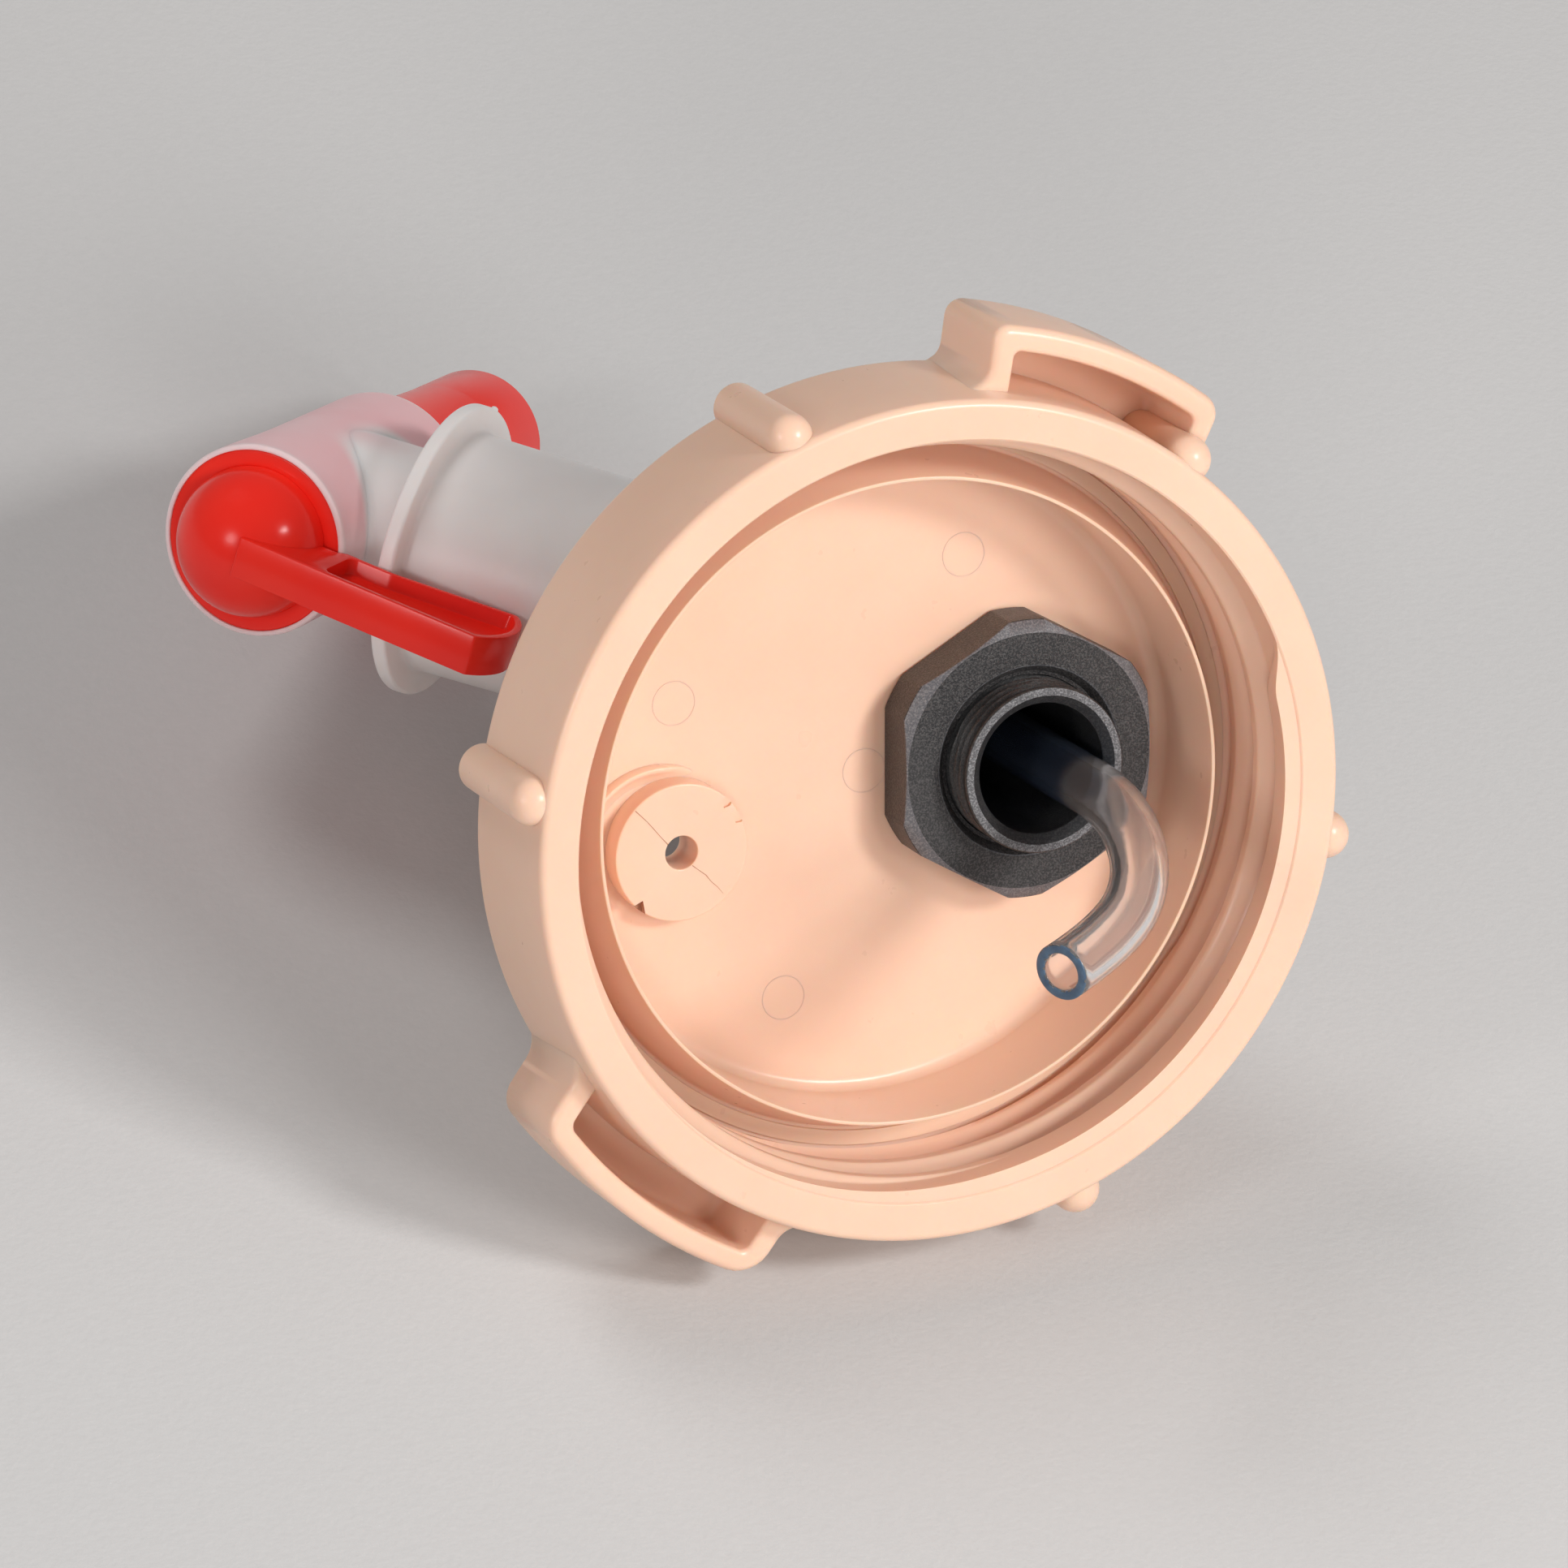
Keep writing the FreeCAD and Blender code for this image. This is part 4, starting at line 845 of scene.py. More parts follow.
# %% [markdown]
# ## Hollow lugs
#
# A lug is a thick band outside the skirt with a pocket sunk into its front.  Its outline is a rectangle with
# rounded corners that is then bent round the lid: the share along the rectangle gives the direction between
# the lug's two sides, and the height in the rectangle is the distance from the axis.  Rings of that outline,
# from the back up the outside, over the front edge and down the pocket, make one closed surface.

# %% Lugs
LUG_FRONT = -5.6
LUG_BACK = -24.9
LUG_FLOOR = -21.0                   # the pocket's floor
LUG_ROOT = 63.0                     # radii: inside the skirt, on a lug's outside, and between them
LUG_OUTSIDE = 76.4
LUG_MIDDLE = 72.0
SKIRT_MIDDLE = 66.4                 # the skirt's outer radius at half its height
LUG_FILLET = 3.0
POCKET_ROOT = 65.2
POCKET_OUTSIDE = 72.5
SIDE_WALL = 3.7


def rounded_box(low, high, corner_radii, steps=6, run=14):
    """A rectangle's outline with rounded corners and evenly divided sides, always the same point count."""
    (x0, y0), (x1, y1) = low, high
    corners = [(x0, y0), (x1, y0), (x1, y1), (x0, y1)]
    arcs = []
    for number, ((x, y), radius) in enumerate(zip(corners, corner_radii)):
        centre = (x + radius if x == x0 else x - radius, y + radius if y == y0 else y - radius)
        angle = np.radians(180 + 90 * number) + np.linspace(0, np.pi / 2, steps + 1)
        arcs.append(np.stack([centre[0] + radius * np.cos(angle), centre[1] + radius * np.sin(angle)], -1))
    share = np.linspace(0, 1, run + 2)[1:-1, None]
    parts = []
    for arc, following in zip(arcs, arcs[1:] + arcs[:1]):
        parts += [arc, arc[-1] * (1 - share) + following[0] * share]
    return np.concatenate(parts)


def bend(outline, width, sides, height, flare=0.0):
    """Carries a rectangle's outline round the lid at one height; sides holds (root, outside) angles.

    Where the lug meets the skirt it widens by a fillet of radius flare: at a distance d from the fillet's
    centre line that is flare - square root of (flare squared - d squared) on each side."""
    (start_root, start_out), (end_root, end_out) = sides
    reach = outline[:, 1]
    share = (reach - LUG_ROOT) / (LUG_OUTSIDE - LUG_ROOT)
    start = start_root + (start_out - start_root) * share
    end = end_root + (end_out - end_root) * share
    along = outline[:, 0] / width
    from_centre = np.clip(SKIRT_MIDDLE + flare - reach, 0, flare)
    widen = flare - np.sqrt(np.clip(flare ** 2 - from_centre ** 2, 0, None))
    angle = np.radians(start + (end - start) * along) + (2 * along - 1) * widen / reach
    return np.stack([reach * np.cos(angle), reach * np.sin(angle), np.full(len(reach), height)], -1)


def lug_grid(sides, outside, back, end_corner):
    """Rings from the closed back to the pocket's floor; each gives an inset, a height and its corners."""
    width = math.radians(sides[1][1] - sides[0][1]) * LUG_MIDDLE
    rings = []
    for inset, height in ((0.6, back), (0.0, back + 0.6), (0.0, LUG_FRONT - 1.4), (0.11, LUG_FRONT - 0.9),
                          (0.42, LUG_FRONT - 0.42), (0.9, LUG_FRONT - 0.11), (1.4, LUG_FRONT)):
        corners = (0.1, 0.1, end_corner - inset, 2.6 - inset)
        box = rounded_box((inset, LUG_ROOT), (width - inset, outside - inset), corners)
        rings.append(bend(box, width, sides, height, LUG_FILLET))
    for inset, height in ((-0.9, LUG_FRONT), (-0.4, LUG_FRONT - 0.12), (-0.1, LUG_FRONT - 0.45),
                          (0.0, LUG_FRONT - 0.9), (0.15, LUG_FLOOR + 1.2), (0.5, LUG_FLOOR + 0.4),
                          (1.3, LUG_FLOOR)):
        low = (SIDE_WALL + inset, POCKET_ROOT)
        high = (width - SIDE_WALL - inset, POCKET_OUTSIDE - inset)
        rings.append(bend(rounded_box(low, high, (0.1, 0.1, 1.2, 1.2)), width, sides, height))
    return cap_ends(np.stack(rings))


LUGS = {                            # sides in degrees, outer radius, back, radius of one outer corner
    "upper_lug": (((-5.9, -3.1), (28.3, 28.3)), LUG_OUTSIDE, LUG_BACK, 2.6),
    "lower_lug": (((156.0, 160.4), (197.2, 194.0)), LUG_OUTSIDE - 0.2, LUG_BACK + 0.9, 4.2)}
for name, numbers in LUGS.items():
    lug_mesh = to_mesh(name, lug_grid(*numbers), LID, wrap_rows=False, sharp=45)
    add_piece(name, lug_mesh, LID_PLASTIC)

# %% [markdown]
# ## Nipple and lock nut
#
# Both are black glass-filled plastic.  The nut is a hexagon whose corners are turned off to a cylinder and
# whose front edge is turned to a shallow cone: at each angle the outer radius is the smaller of the hexagon's
# and the cylinder's.  The nipple carries a fine helical thread, carved like the lid's.  The nut's cone and
# the thin edge round its countersink are painted paler, as painted highlights on faces that lean to the light.
# The nipple's cut ring looks paler than the rest, because tools have bared the glass fibre there.

# %% Black plastic


def black_plastic(name, dark, light, rough, speckle):
    """Satin black with fine pale specks, as glass fibre leaves near the surface."""
    material, tree, shader = new_material(name)
    where = place_of(tree)
    grain = noise(tree, where, 3400.0, 2.0, 0.7)
    tint = ramp(tree, grain, [(0.45, dark), (0.62, light)])
    gloss = spread(tree, noise(tree, where, 300.0), rough - 0.06, rough + 0.08)
    set_inputs(tree, shader, {"Base Color": tint, "Roughness": gloss, "Specular IOR Level": 0.55})
    bump(tree, shader, grain, speckle, 0.0002)
    return material


NUT_PLASTIC = black_plastic("nut_plastic", (0.020, 0.019, 0.020), (0.075, 0.070, 0.068), 0.42, 0.5)
# painted highlight: a paler black for the nut's tilted cone and the edge round its countersink
NUT_PAINTED_HIGHLIGHT = black_plastic("nut_cone_painted_highlight", (0.10, 0.10, 0.108), (0.20, 0.195, 0.20), 0.30, 0.3)
PIPE_PLASTIC = black_plastic("pipe_plastic", (0.018, 0.018, 0.019), (0.05, 0.048, 0.047), 0.36, 0.3)
PIPE_CUT = black_plastic("pipe_cut", (0.085, 0.083, 0.086), (0.24, 0.235, 0.24), 0.38, 0.8)
print("nut's and nipple's materials:", NUT_PLASTIC.name, NUT_PAINTED_HIGHLIGHT.name, PIPE_PLASTIC.name, PIPE_CUT.name)

# %% Lock nut
NUT_HEADING = 36.5                  # direction of one of the hexagon's corners
NUT_FLATS = 41.0
NUT_TURNED = 22.2
NUT_BACK = PLATE_FRONT
NUT_FRONT = -21.8
NUT_BORE = 13.3
BORE_EDGE = 15.1                    # radius of the thin sloping edge round the countersink
CONE_START = 20.3
CONE_SLOPE = 0.6


def nut_grid(columns=384):
    """A closed section for each angle: bore, countersink, front, cone, side, back.

    The hexagon's radius at angle t from a corner is half its flats divided by cos(t - 30 degrees)."""
    turn = np.linspace(0, 2 * np.pi, columns, endpoint=False)
    from_corner = turn % (np.pi / 3)
    hexagon = NUT_FLATS / 2 / np.cos(from_corner - np.pi / 6)
    outer = np.minimum(hexagon, NUT_TURNED)
    shoulder = NUT_FRONT - (outer - CONE_START) * CONE_SLOPE
    sections = [
        # Bore and countersink
        (NUT_BORE, NUT_BACK), (NUT_BORE, NUT_FRONT - 1.7), (NUT_BORE + 0.6, NUT_FRONT - 1.6),
        (BORE_EDGE - 0.1, NUT_FRONT - 0.15), (BORE_EDGE + 0.1, NUT_FRONT),
        # Front, cone, side and back
        (CONE_START, NUT_FRONT), (outer - 0.1, shoulder + 0.06), (outer, shoulder - 0.08),
        (outer, NUT_BACK + 0.6), (outer - 0.5, NUT_BACK)]
    radius = np.stack([np.broadcast_to(r, columns) for r, z in sections], -1)
    height = np.stack([np.broadcast_to(z, columns) for r, z in sections], -1)
    angle = (turn + math.radians(NUT_HEADING))[:, None]
    return np.stack([radius * np.cos(angle), radius * np.sin(angle), height], -1)


def highlighted_faces(at):
    """The nut's cone, and the thin edge round its countersink, which get the painted highlight."""
    radius = np.hypot(at[:, 0], at[:, 1])
    cone = (radius > CONE_START - 0.05) & (radius < NUT_TURNED - 0.1) & (at[:, 2] > NUT_FRONT - 1.3)
    edge = (np.abs(radius - BORE_EDGE) < 0.12) & (at[:, 2] > NUT_FRONT - 0.2)
    return cone | edge


nut_mesh = to_mesh("lock_nut_turned", nut_grid(), PIPE, sharp=24)
add_piece("lock_nut_turned", nut_mesh, NUT_PLASTIC, stands_for=["lock_nut"])
# the cone and the countersink's edge take the paler black as a painted highlight
paint_faces(nut_mesh, PIPE, NUT_PAINTED_HIGHLIGHT, highlighted_faces)

# %% Threaded nipple
PIPE_RADIUS = 13.2
PIPE_BORE = 10.35
PIPE_BACK = -52.3
PIPE_PITCH = 1.814
PIPE_GROOVE = 1.0                   # depth of the thread's grooves
THREAD_END = PIPE_FRONT - 0.8       # the cut end is plain from here


def carve_pipe_thread(angle, radius, height):
    """Grooves between the threads: a rounded wave along the height that turns with the angle."""
    on_wall = np.abs(radius - PIPE_RADIUS) < 1e-3
    wave = 0.5 - 0.5 * np.cos(2 * np.pi * (height / PIPE_PITCH + angle / (2 * np.pi)))
    start = np.clip((THREAD_END - height) / 0.5, 0, 1)
    return -PIPE_GROOVE * wave ** 0.8 * start * on_wall


def nipple_profile():
    """The nipple's wall in (r, z), chamfered in the bore at the cut end, with its outside finely divided."""
    outline = soften([
        (PIPE_BORE, PIPE_BACK, 0), (PIPE_RADIUS, PIPE_BACK, 0.4), (PIPE_RADIUS, PIPE_FRONT, 0.35),
        (PIPE_BORE + 1.5, PIPE_FRONT, 0.1), (PIPE_BORE, PIPE_FRONT - 1.3, 0.3)], 4)
    on_wall = np.abs(outline[:, 0] - PIPE_RADIUS) < 1e-6
    cut = np.flatnonzero(on_wall)[0] + 1
    low, high = outline[on_wall][:, 1].min(), outline[on_wall][:, 1].max()
    fine = np.stack([np.full(200, PIPE_RADIUS), np.linspace(low, high, 202)[1:-1]], -1)
    return np.concatenate([outline[:cut], fine, outline[cut:]])


nipple_mesh = to_mesh("nipple", lathe(nipple_profile(), 144, carve_pipe_thread), PIPE, sharp=50)
add_piece("nipple_turned", nipple_mesh, PIPE_PLASTIC, stands_for=["threaded_nipple"])
paint_faces(nipple_mesh, PIPE, PIPE_CUT, lambda at: at[:, 2] > PIPE_FRONT - 0.03)

# %% [markdown]
# ## Elbow behind the lid
#
# A bent pipe with a collar and a socket at one end and a stop collar at the other.  The bend is a circle
# carried along a line, an arc and a line; the collars are turned.

# %% Elbow
BEND_RADIUS = 26.0
ELBOW_RADIUS = 15.0
ELBOW_START = 12.5                  # distances from the corner where the two axes meet
LEG_MIDDLE = 35.0
LEG_END = 58.2


def elbow_path():
    """Points down the nipple's axis, round the arc and out along the leg, with the direction at each."""
    turn = math.radians(ELBOW_TURN)
    setback = BEND_RADIUS * math.tan(turn / 2)
    angle = np.linspace(0, turn, 25)
    arc = np.stack([BEND_RADIUS * (1 - np.cos(angle)), 0 * angle, setback - BEND_RADIUS * np.sin(angle)], -1)
    arc_way = np.stack([np.sin(angle), 0 * angle, -np.cos(angle)], -1)
    leg = np.array([math.sin(turn), 0, -math.cos(turn)])
    path = np.concatenate([[[0, 0, ELBOW_START]], arc, [leg * LEG_MIDDLE], [leg * LEG_END]])
    way = np.concatenate([[[0, 0, -1]], arc_way, [leg], [leg]])
    return path, way


def tube_grid(path, way, outer, inner, columns=72):
    """A hollow pipe: circles in the plane across the path, outer wall first, then back along the bore."""
    side = np.tile([0.0, 1.0, 0.0], (len(path), 1))
    up = np.cross(way, side)
    turn = np.linspace(0, 2 * np.pi, columns, endpoint=False)
    ring = np.stack([np.cos(turn), np.sin(turn)], -1)
    return np.concatenate([carry(ring * outer, path, side, up), carry(ring * inner, path, side, up)[::-1]])


ELBOW_PLASTIC = black_plastic("elbow_plastic", (0.030, 0.030, 0.031), (0.07, 0.07, 0.07), 0.38, 0.25)
elbow_grid = tube_grid(*elbow_path(), ELBOW_RADIUS, PIPE_BORE)
elbow_mesh = to_mesh("elbow_bend", elbow_grid, ELBOW)
add_piece("elbow_bend", elbow_mesh, ELBOW_PLASTIC, stands_for=["pipe_elbow"])

# %% Collars of the elbow
# Both are closed outlines in (r, z): the socket round the nipple's end, and the ring that stops the shank
socket = soften([(13.3, 11.7, 0), (17.5, 11.7, 1.0), (17.5, 23.7, 0.6), (20.0, 23.7, 0.5), (20.0, 27.7, 0.5),
                 (13.3, 27.7, 0)])
stop = soften([(14.5, 34.2, 0), (18.9, 34.2, 0.5), (18.9, 38.2, 0.3), (14.5, 38.2, 0)])
for name, outline, place in (("elbow_socket", socket, ELBOW), ("elbow_stop", stop, OUTLET)):
    add_piece(name, to_mesh(name, lathe(outline, 120), place), ELBOW_PLASTIC)

# %% [markdown]
# ## Tap
#
# The body is unpigmented polyethylene: milky, and the red plug shines through the barrel as pink.  The shank
# and the barrel are two turned shapes; the neck ends on the barrel along the saddle where they meet, at
# x = square root of (barrel radius squared - y squared).

# %% Milky plastic


def milky_plastic():
    """White translucent plastic that turns pink by each point's stored share of what lies behind it."""
    material, tree, shader = new_material("tap_plastic")
    where = place_of(tree)
    mottle = noise(tree, where, 60.0, 3.0)
    white = ramp(tree, mottle, [(0.3, (0.84, 0.785, 0.765)), (0.7, (0.89, 0.845, 0.825))])
    pink = ramp(tree, noise(tree, where, 45.0, 2.0), [(0.3, (0.92, 0.50, 0.52)), (0.7, (0.95, 0.58, 0.595))])
    tint = blend(tree, stored(tree, "behind"), white, pink)
    gloss = spread(tree, noise(tree, where, 200.0), 0.26, 0.40)
    set_inputs(tree, shader, {"Base Color": tint, "Roughness": gloss, "Subsurface Weight": 0.5,
                              "Subsurface Radius": (1.0, 0.8, 0.7), "Subsurface Scale": 0.002})
    bump(tree, shader, noise(tree, where, 500.0, 3.0), 0.06, 0.0003)
    return material


TAP_PLASTIC = milky_plastic()
print("tap's material:", TAP_PLASTIC.name)

# %% Shank, flange and neck
NECK_RADIUS = 14.5
NECK_BORE = 10.0
NECK_BLEND = 2.0
BARREL_RADIUS = 14.95
FLANGE_RADIUS = 23.7
FLANGE_FRONT = 20.8                 # distances from the barrel's axis
FLANGE_BACK = 23.4
SHANK_END = 66.4
SHANK_BORE = 16.6


def behind_share(at):
    """How much red lies behind a point of the tap: all round the barrel, but not where the neck opens.

    It fades over the few millimetres where the neck leaves the barrel, and to a little less at both rims."""
    from_neck_axis = np.hypot(at[:, 1], at[:, 2])
    in_neck = smooth((at[:, 0] - 1.0) / 7.0) * (1 - smooth((from_neck_axis - 14.9) / 2.4))
    past_barrel = smooth((at[:, 0] - 13.5) / 3.5)
    near_rim = smooth((np.abs(at[:, 2]) - 23.2) / 1.4) * 0.45
    return np.clip(1 - np.maximum(in_neck, past_barrel) - near_rim, 0, 1)


def neck_rows(columns):
    """The neck's first rows (r, x) at each angle, bent out over the blend on to the barrel.

    At an angle whose sine is s the barrel's surface stands at x = root of (R squared - (r s) squared).  The
    blend is a curve with three control points: on the barrel, where the two surfaces meet, and on the neck.
    Its width is that of a 2 mm fillet, which vanishes where the two cylinders run side by side."""
    across = np.sin(np.linspace(0, 2 * np.pi, columns, endpoint=False))
    width = NECK_BLEND * np.tan(np.arccos(across ** 2 * NECK_RADIUS / BARREL_RADIUS) / 2)

    def on_barrel(radius):
        return np.sqrt(np.clip(BARREL_RADIUS ** 2 - (radius * across) ** 2, 0, None))
    first, last = NECK_RADIUS + width, on_barrel(NECK_RADIUS) + width
    share = np.linspace(0, 1, 10)[:, None]
    radius = (1 - share) ** 2 * first + (1 - (1 - share) ** 2) * NECK_RADIUS
    reach = (1 - share ** 2 - (1 - share) ** 2) * on_barrel(NECK_RADIUS)
    reach = reach + (1 - share) ** 2 * on_barrel(first) + share ** 2 * last
    inside = on_barrel(first) - 0.7     # a first row hidden in the barrel's wall
    return np.concatenate([[first], radius]).T, np.concatenate([[inside], reach]).T


def shank_grid(columns=144):
    """The neck with its blend, the flange and the hollow shank; inside, the neck ends on the same saddle."""
    outline = soften([
        # Neck, flange and the shank's outside, which tapers
        (NECK_RADIUS, 18.2, 0), (NECK_RADIUS, FLANGE_FRONT, 1.0), (FLANGE_RADIUS, FLANGE_FRONT, 0.6),
        (FLANGE_RADIUS, FLANGE_BACK, 0.6), (19.5, FLANGE_BACK, 0.8), (18.9, SHANK_END, 0.5),
        # Wide bore, shoulder and narrow bore
        (SHANK_BORE, SHANK_END, 0.3), (SHANK_BORE, 27.4, 0.5), (NECK_BORE, 27.4, 0.3), (NECK_BORE, 0, 0)], 4)
    grid = lathe(outline, columns)
    saddle = np.sqrt(np.clip((BARREL_RADIUS - 0.9) ** 2 - grid[..., 1] ** 2, 0, None))
    grid = np.where(grid[..., 2:] < 1e-6, np.concatenate([grid[..., :2], saddle[..., None]], -1), grid)
    radius, reach = neck_rows(columns)
    turn = np.linspace(0, 2 * np.pi, columns, endpoint=False)[:, None]
    neck = np.stack([radius * np.cos(turn), radius * np.sin(turn), reach], -1)
    return np.concatenate([neck, grid], axis=1)


SHANK = TAP @ turned("Y", 90)
shank_mesh = to_mesh("tap_shank", shank_grid(), SHANK, sharp=45)
store_share(shank_mesh, TAP, "behind", behind_share)
add_piece("tap_shank", shank_mesh, TAP_PLASTIC, stands_for=["tap_body"])

# %% Barrel
HEAD_FLARE = 0.45                   # the barrel widens a little towards the head
BARREL_BORE = 12.55
BARREL_END = 24.8                   # half its length
SEAT_RADIUS = 14.07                 # the recess that takes the plug's head
SEAT_DEPTH = 22.2
barrel_ends = soften([
    (BARREL_RADIUS, BARREL_END, 0.6), (SEAT_RADIUS, BARREL_END, 0.15), (SEAT_RADIUS, SEAT_DEPTH, 0),
    (BARREL_BORE, SEAT_DEPTH, 0), (BARREL_BORE, -BARREL_END, 0.3), (BARREL_RADIUS, -BARREL_END, 0.9)])
# Many rows on the outside, so that the pink and the widening change gradually
wall_rows = np.stack([np.full(60, BARREL_RADIUS), np.linspace(-23.8, 24.1, 60)], -1)
barrel_profile = np.concatenate([barrel_ends, wall_rows])
widening = HEAD_FLARE * smooth((barrel_profile[:, 1] - 2.0) / 22.0)
barrel_profile[:, 0] += widening * (barrel_profile[:, 0] > 13.0)
barrel_mesh = to_mesh("tap_barrel", lathe(barrel_profile, 144), TAP, sharp=45)
store_share(barrel_mesh, TAP, "behind", behind_share)
add_piece("tap_barrel", barrel_mesh, TAP_PLASTIC)

# %% Sprue nub on the flange
NUB_ANGLE = 60.0
nub = soften([(0, 0, 0), (0.75, 0, 0.2), (0.55, 1.1, 0.3), (0, 1.3, 0)], 3)
nub_place = SHANK @ turned("Z", NUB_ANGLE) @ moved(FLANGE_RADIUS - 0.3, 0, 21.6) @ turned("Y", 80)
nub_mesh = to_mesh("flange_nub", lathe(nub, 12), nub_place, sharp=30)
store_share(nub_mesh, TAP, "behind", lambda at: np.zeros(len(at)))
add_piece("flange_nub", nub_mesh, TAP_PLASTIC)

# %% [markdown]
# ## Plug with its dome, lever and spout
#
# Glossy red, one moulding that turns in the barrel.  The lever is a shallow tray: its section is carried
# round the lever's outline, from the underside up the outer wall, over the rim and down to the tray's floor.

# %% Red plastic


def red_plastic():
    """Glossy signal red with a little depth."""
    material, tree, shader = new_material("plug_plastic")
    where = place_of(tree)
    clouds = noise(tree, where, 45.0, 3.0)
    tint = ramp(tree, clouds, [(0.3, (0.92, 0.020, 0.012)), (0.7, (0.98, 0.032, 0.016))])
    gloss = spread(tree, noise(tree, where, 260.0), 0.16, 0.28)
    set_inputs(tree, shader, {"Base Color": tint, "Roughness": gloss, "Specular IOR Level": 0.35,
                              "Subsurface Weight": 0.2, "Subsurface Radius": (1.0, 0.15, 0.08),
                              "Subsurface Scale": 0.002})
    bump(tree, shader, noise(tree, where, 700.0, 2.0), 0.04, 0.0002)
    return material


PLUG_PLASTIC = red_plastic()
print("plug's material:", PLUG_PLASTIC.name)

# %% Turned part of the plug
HEAD_TOP = 24.6                     # heights on the plug's axis; the barrel's middle is at 0
HEAD_BACK = 22.26
SPOUT_TIP = -63.3
DOME_FOOT = HEAD_TOP + 0.9
DOME_RADIUS = 12.0
DOME_HEIGHT = 11.1
PLUG_RADIUS = 12.49
SPOUT_RADIUS = 11.6
SPOUT_BORE = 9.6


def plug_outline():
    """Spout, bead, barrel, head disc and dome, closed through the axis, with the spout's blind bore."""
    angle = np.linspace(0, np.pi / 2, 24)
    dome = np.stack([DOME_RADIUS * np.cos(angle), DOME_FOOT + DOME_HEIGHT * np.sin(angle)], -1)
    turned_part = soften([
        # The blind bore, from its end out to the tip
        (0, 11.0, 0), (7.6, 11.0, 0.5), (SPOUT_BORE, 9.0, 0.5), (SPOUT_BORE, SPOUT_TIP, 0.4),
        # The spout, its taper and the snap bead
        (SPOUT_RADIUS, SPOUT_TIP, 0.4), (SPOUT_RADIUS, -48.3, 3.0), (12.29, -28.0, 0.5), (13.0, -26.4, 0.3),
        (13.0, -25.4, 0.3),
        # The part that runs in the barrel, the head and the foot of the dome
        (PLUG_RADIUS, -24.95, 0.1), (PLUG_RADIUS, HEAD_BACK, 0), (14.05 + HEAD_FLARE, HEAD_BACK, 0),
        (14.05 + HEAD_FLARE, HEAD_TOP, 0.25), (DOME_RADIUS + 0.05, HEAD_TOP, 0.2)], 4)
    return np.concatenate([turned_part, dome])


plug_mesh = to_mesh("plug", lathe(plug_outline(), 144), PLUG, sharp=45)
add_piece("plug_turned", plug_mesh, PLUG_PLASTIC, body="plug", stands_for=["valve_plug"])

# %% Lever
LEVER_ABOVE = 3.9                   # rim and underside, from the plane through the plug's axis
LEVER_BELOW = 2.7
CROWN = 36.8                        # the lever's long straight side
BASE = 24.1                         # its other side, just inside the head
REACH = 47.3
END_RADIUS = 12.6
HALF_WIDTH = 8.5
TRAY_WALL = 1.2
TRAY_FLOOR = 1.4
TRAY_START = 16.5


def end_arc(inset, corner):
    """Corners of the rounded end: an arc about a point on the lever's middle line, drawn in by the inset."""
    radius, half = END_RADIUS - inset, HALF_WIDTH - inset
    angle = np.linspace(math.asin(half / radius), -math.asin(half / radius), 15)
    x = REACH - END_RADIUS + radius * np.cos(angle)
    z = CROWN - HALF_WIDTH + radius * np.sin(angle)
    soft = np.where(np.arange(15) % 14 == 0, corner, 0.0)
    return list(zip(x, z, soft))


def level_ring(corners, y):
    """A softened outline in x and z, laid at one height y above the lever's middle."""
    outline = soften(corners, 8)
    return np.stack([outline[:, 0], np.full(len(outline), y), outline[:, 1]], -1)


def lever_ring(inset, y):
    """The lever's outline at one height: straight side, end, widening side, root and the dome's middle."""
    return level_ring([
        (2.0 + inset, CROWN - inset, 0.5), *end_arc(inset, 0.8), (23.8, BASE + inset, 6.0),
        (15.5, BASE + inset, 0.4), (14.0 + inset, BASE + 1.3 + inset, 0),
        (2.0 + inset, BASE + 1.3 + inset, 0)], y)


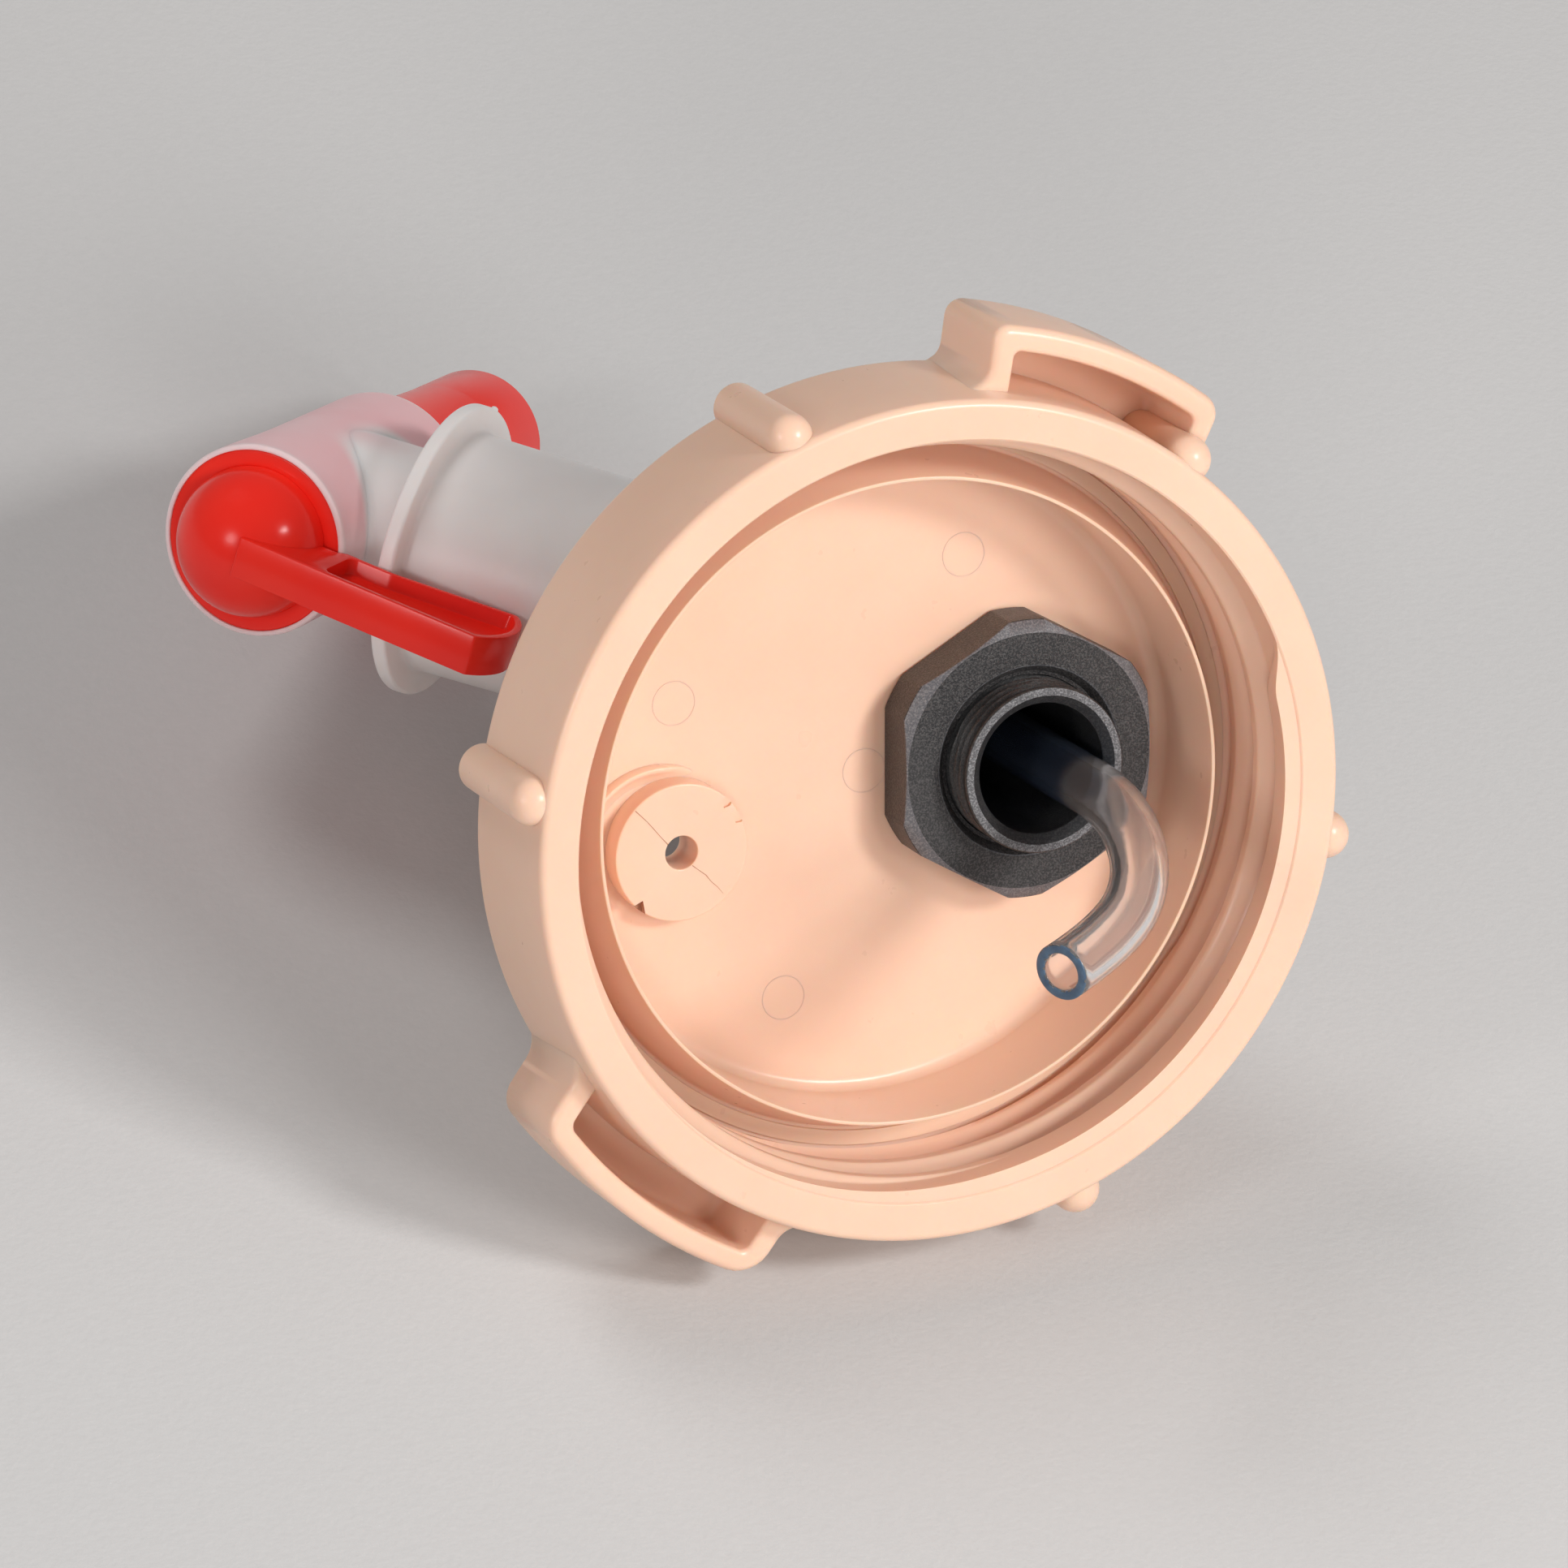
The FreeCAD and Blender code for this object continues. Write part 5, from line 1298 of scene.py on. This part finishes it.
def tray_ring(inset, y):
    """The tray's outline, with as many points as the lever's so that the rim between them is one strip."""
    wall = TRAY_WALL + inset
    start = TRAY_START + inset
    return level_ring([
        (start, CROWN - wall, 1.6), *end_arc(wall, 0.8), (23.8, BASE + wall, 5.0), (start, BASE + wall, 1.6),
        (start, 29.0, 0), (start, 32.0, 0)], y)


def lever_grid():
    """Rings from the underside up the outer wall, over the rim and down into the tray."""
    outside = [(1.0, -LEVER_BELOW), (0.35, -LEVER_BELOW), (0.1, -LEVER_BELOW + 0.1), (0, -LEVER_BELOW + 0.35),
               (0, LEVER_ABOVE - 0.3), (0.08, LEVER_ABOVE - 0.08), (0.3, LEVER_ABOVE)]
    tray = [(-0.2, LEVER_ABOVE), (-0.05, LEVER_ABOVE - 0.08), (0, LEVER_ABOVE - 0.25),
            (0.2, TRAY_FLOOR + 0.4), (0.32, TRAY_FLOOR + 0.12), (0.6, TRAY_FLOOR), (1.2, TRAY_FLOOR)]
    rows = [lever_ring(inset, y) for inset, y in outside] + [tray_ring(inset, y) for inset, y in tray]
    return cap_ends(np.stack(rows))


lever_mesh = to_mesh("plug_lever", lever_grid(), PLUG, wrap_rows=False, sharp=34)
add_piece("plug_lever", lever_mesh, PLUG_PLASTIC, body="plug")

# %% [markdown]
# ## Pieces shown as they stand in the CAD
#
# The washer behind the lid, the two O-rings in the tap's shank and the small holder of the tube are simple
# shapes, and they need nothing but a material.

# %% Rubber and nylon


def fill_slots(name, material):
    """Fills the material slots of a CAD piece and leaves its mesh alone."""
    piece = bpy.data.objects[name]
    for slot in piece.material_slots:
        slot.material = material
    if not piece.material_slots:
        piece.data.materials.append(material)


RUBBER = black_plastic("black_rubber", (0.018, 0.018, 0.019), (0.035, 0.034, 0.034), 0.55, 0.35)
NYLON = black_plastic("white_nylon", (0.66, 0.65, 0.62), (0.74, 0.73, 0.70), 0.40, 0.15)
for name in ("seal_washer", "shank_o_ring_front", "shank_o_ring_rear"):
    fill_slots(name, RUBBER)
fill_slots("vent_holder", NYLON)
print("materials of the CAD's own pieces:", RUBBER.name, NYLON.name)
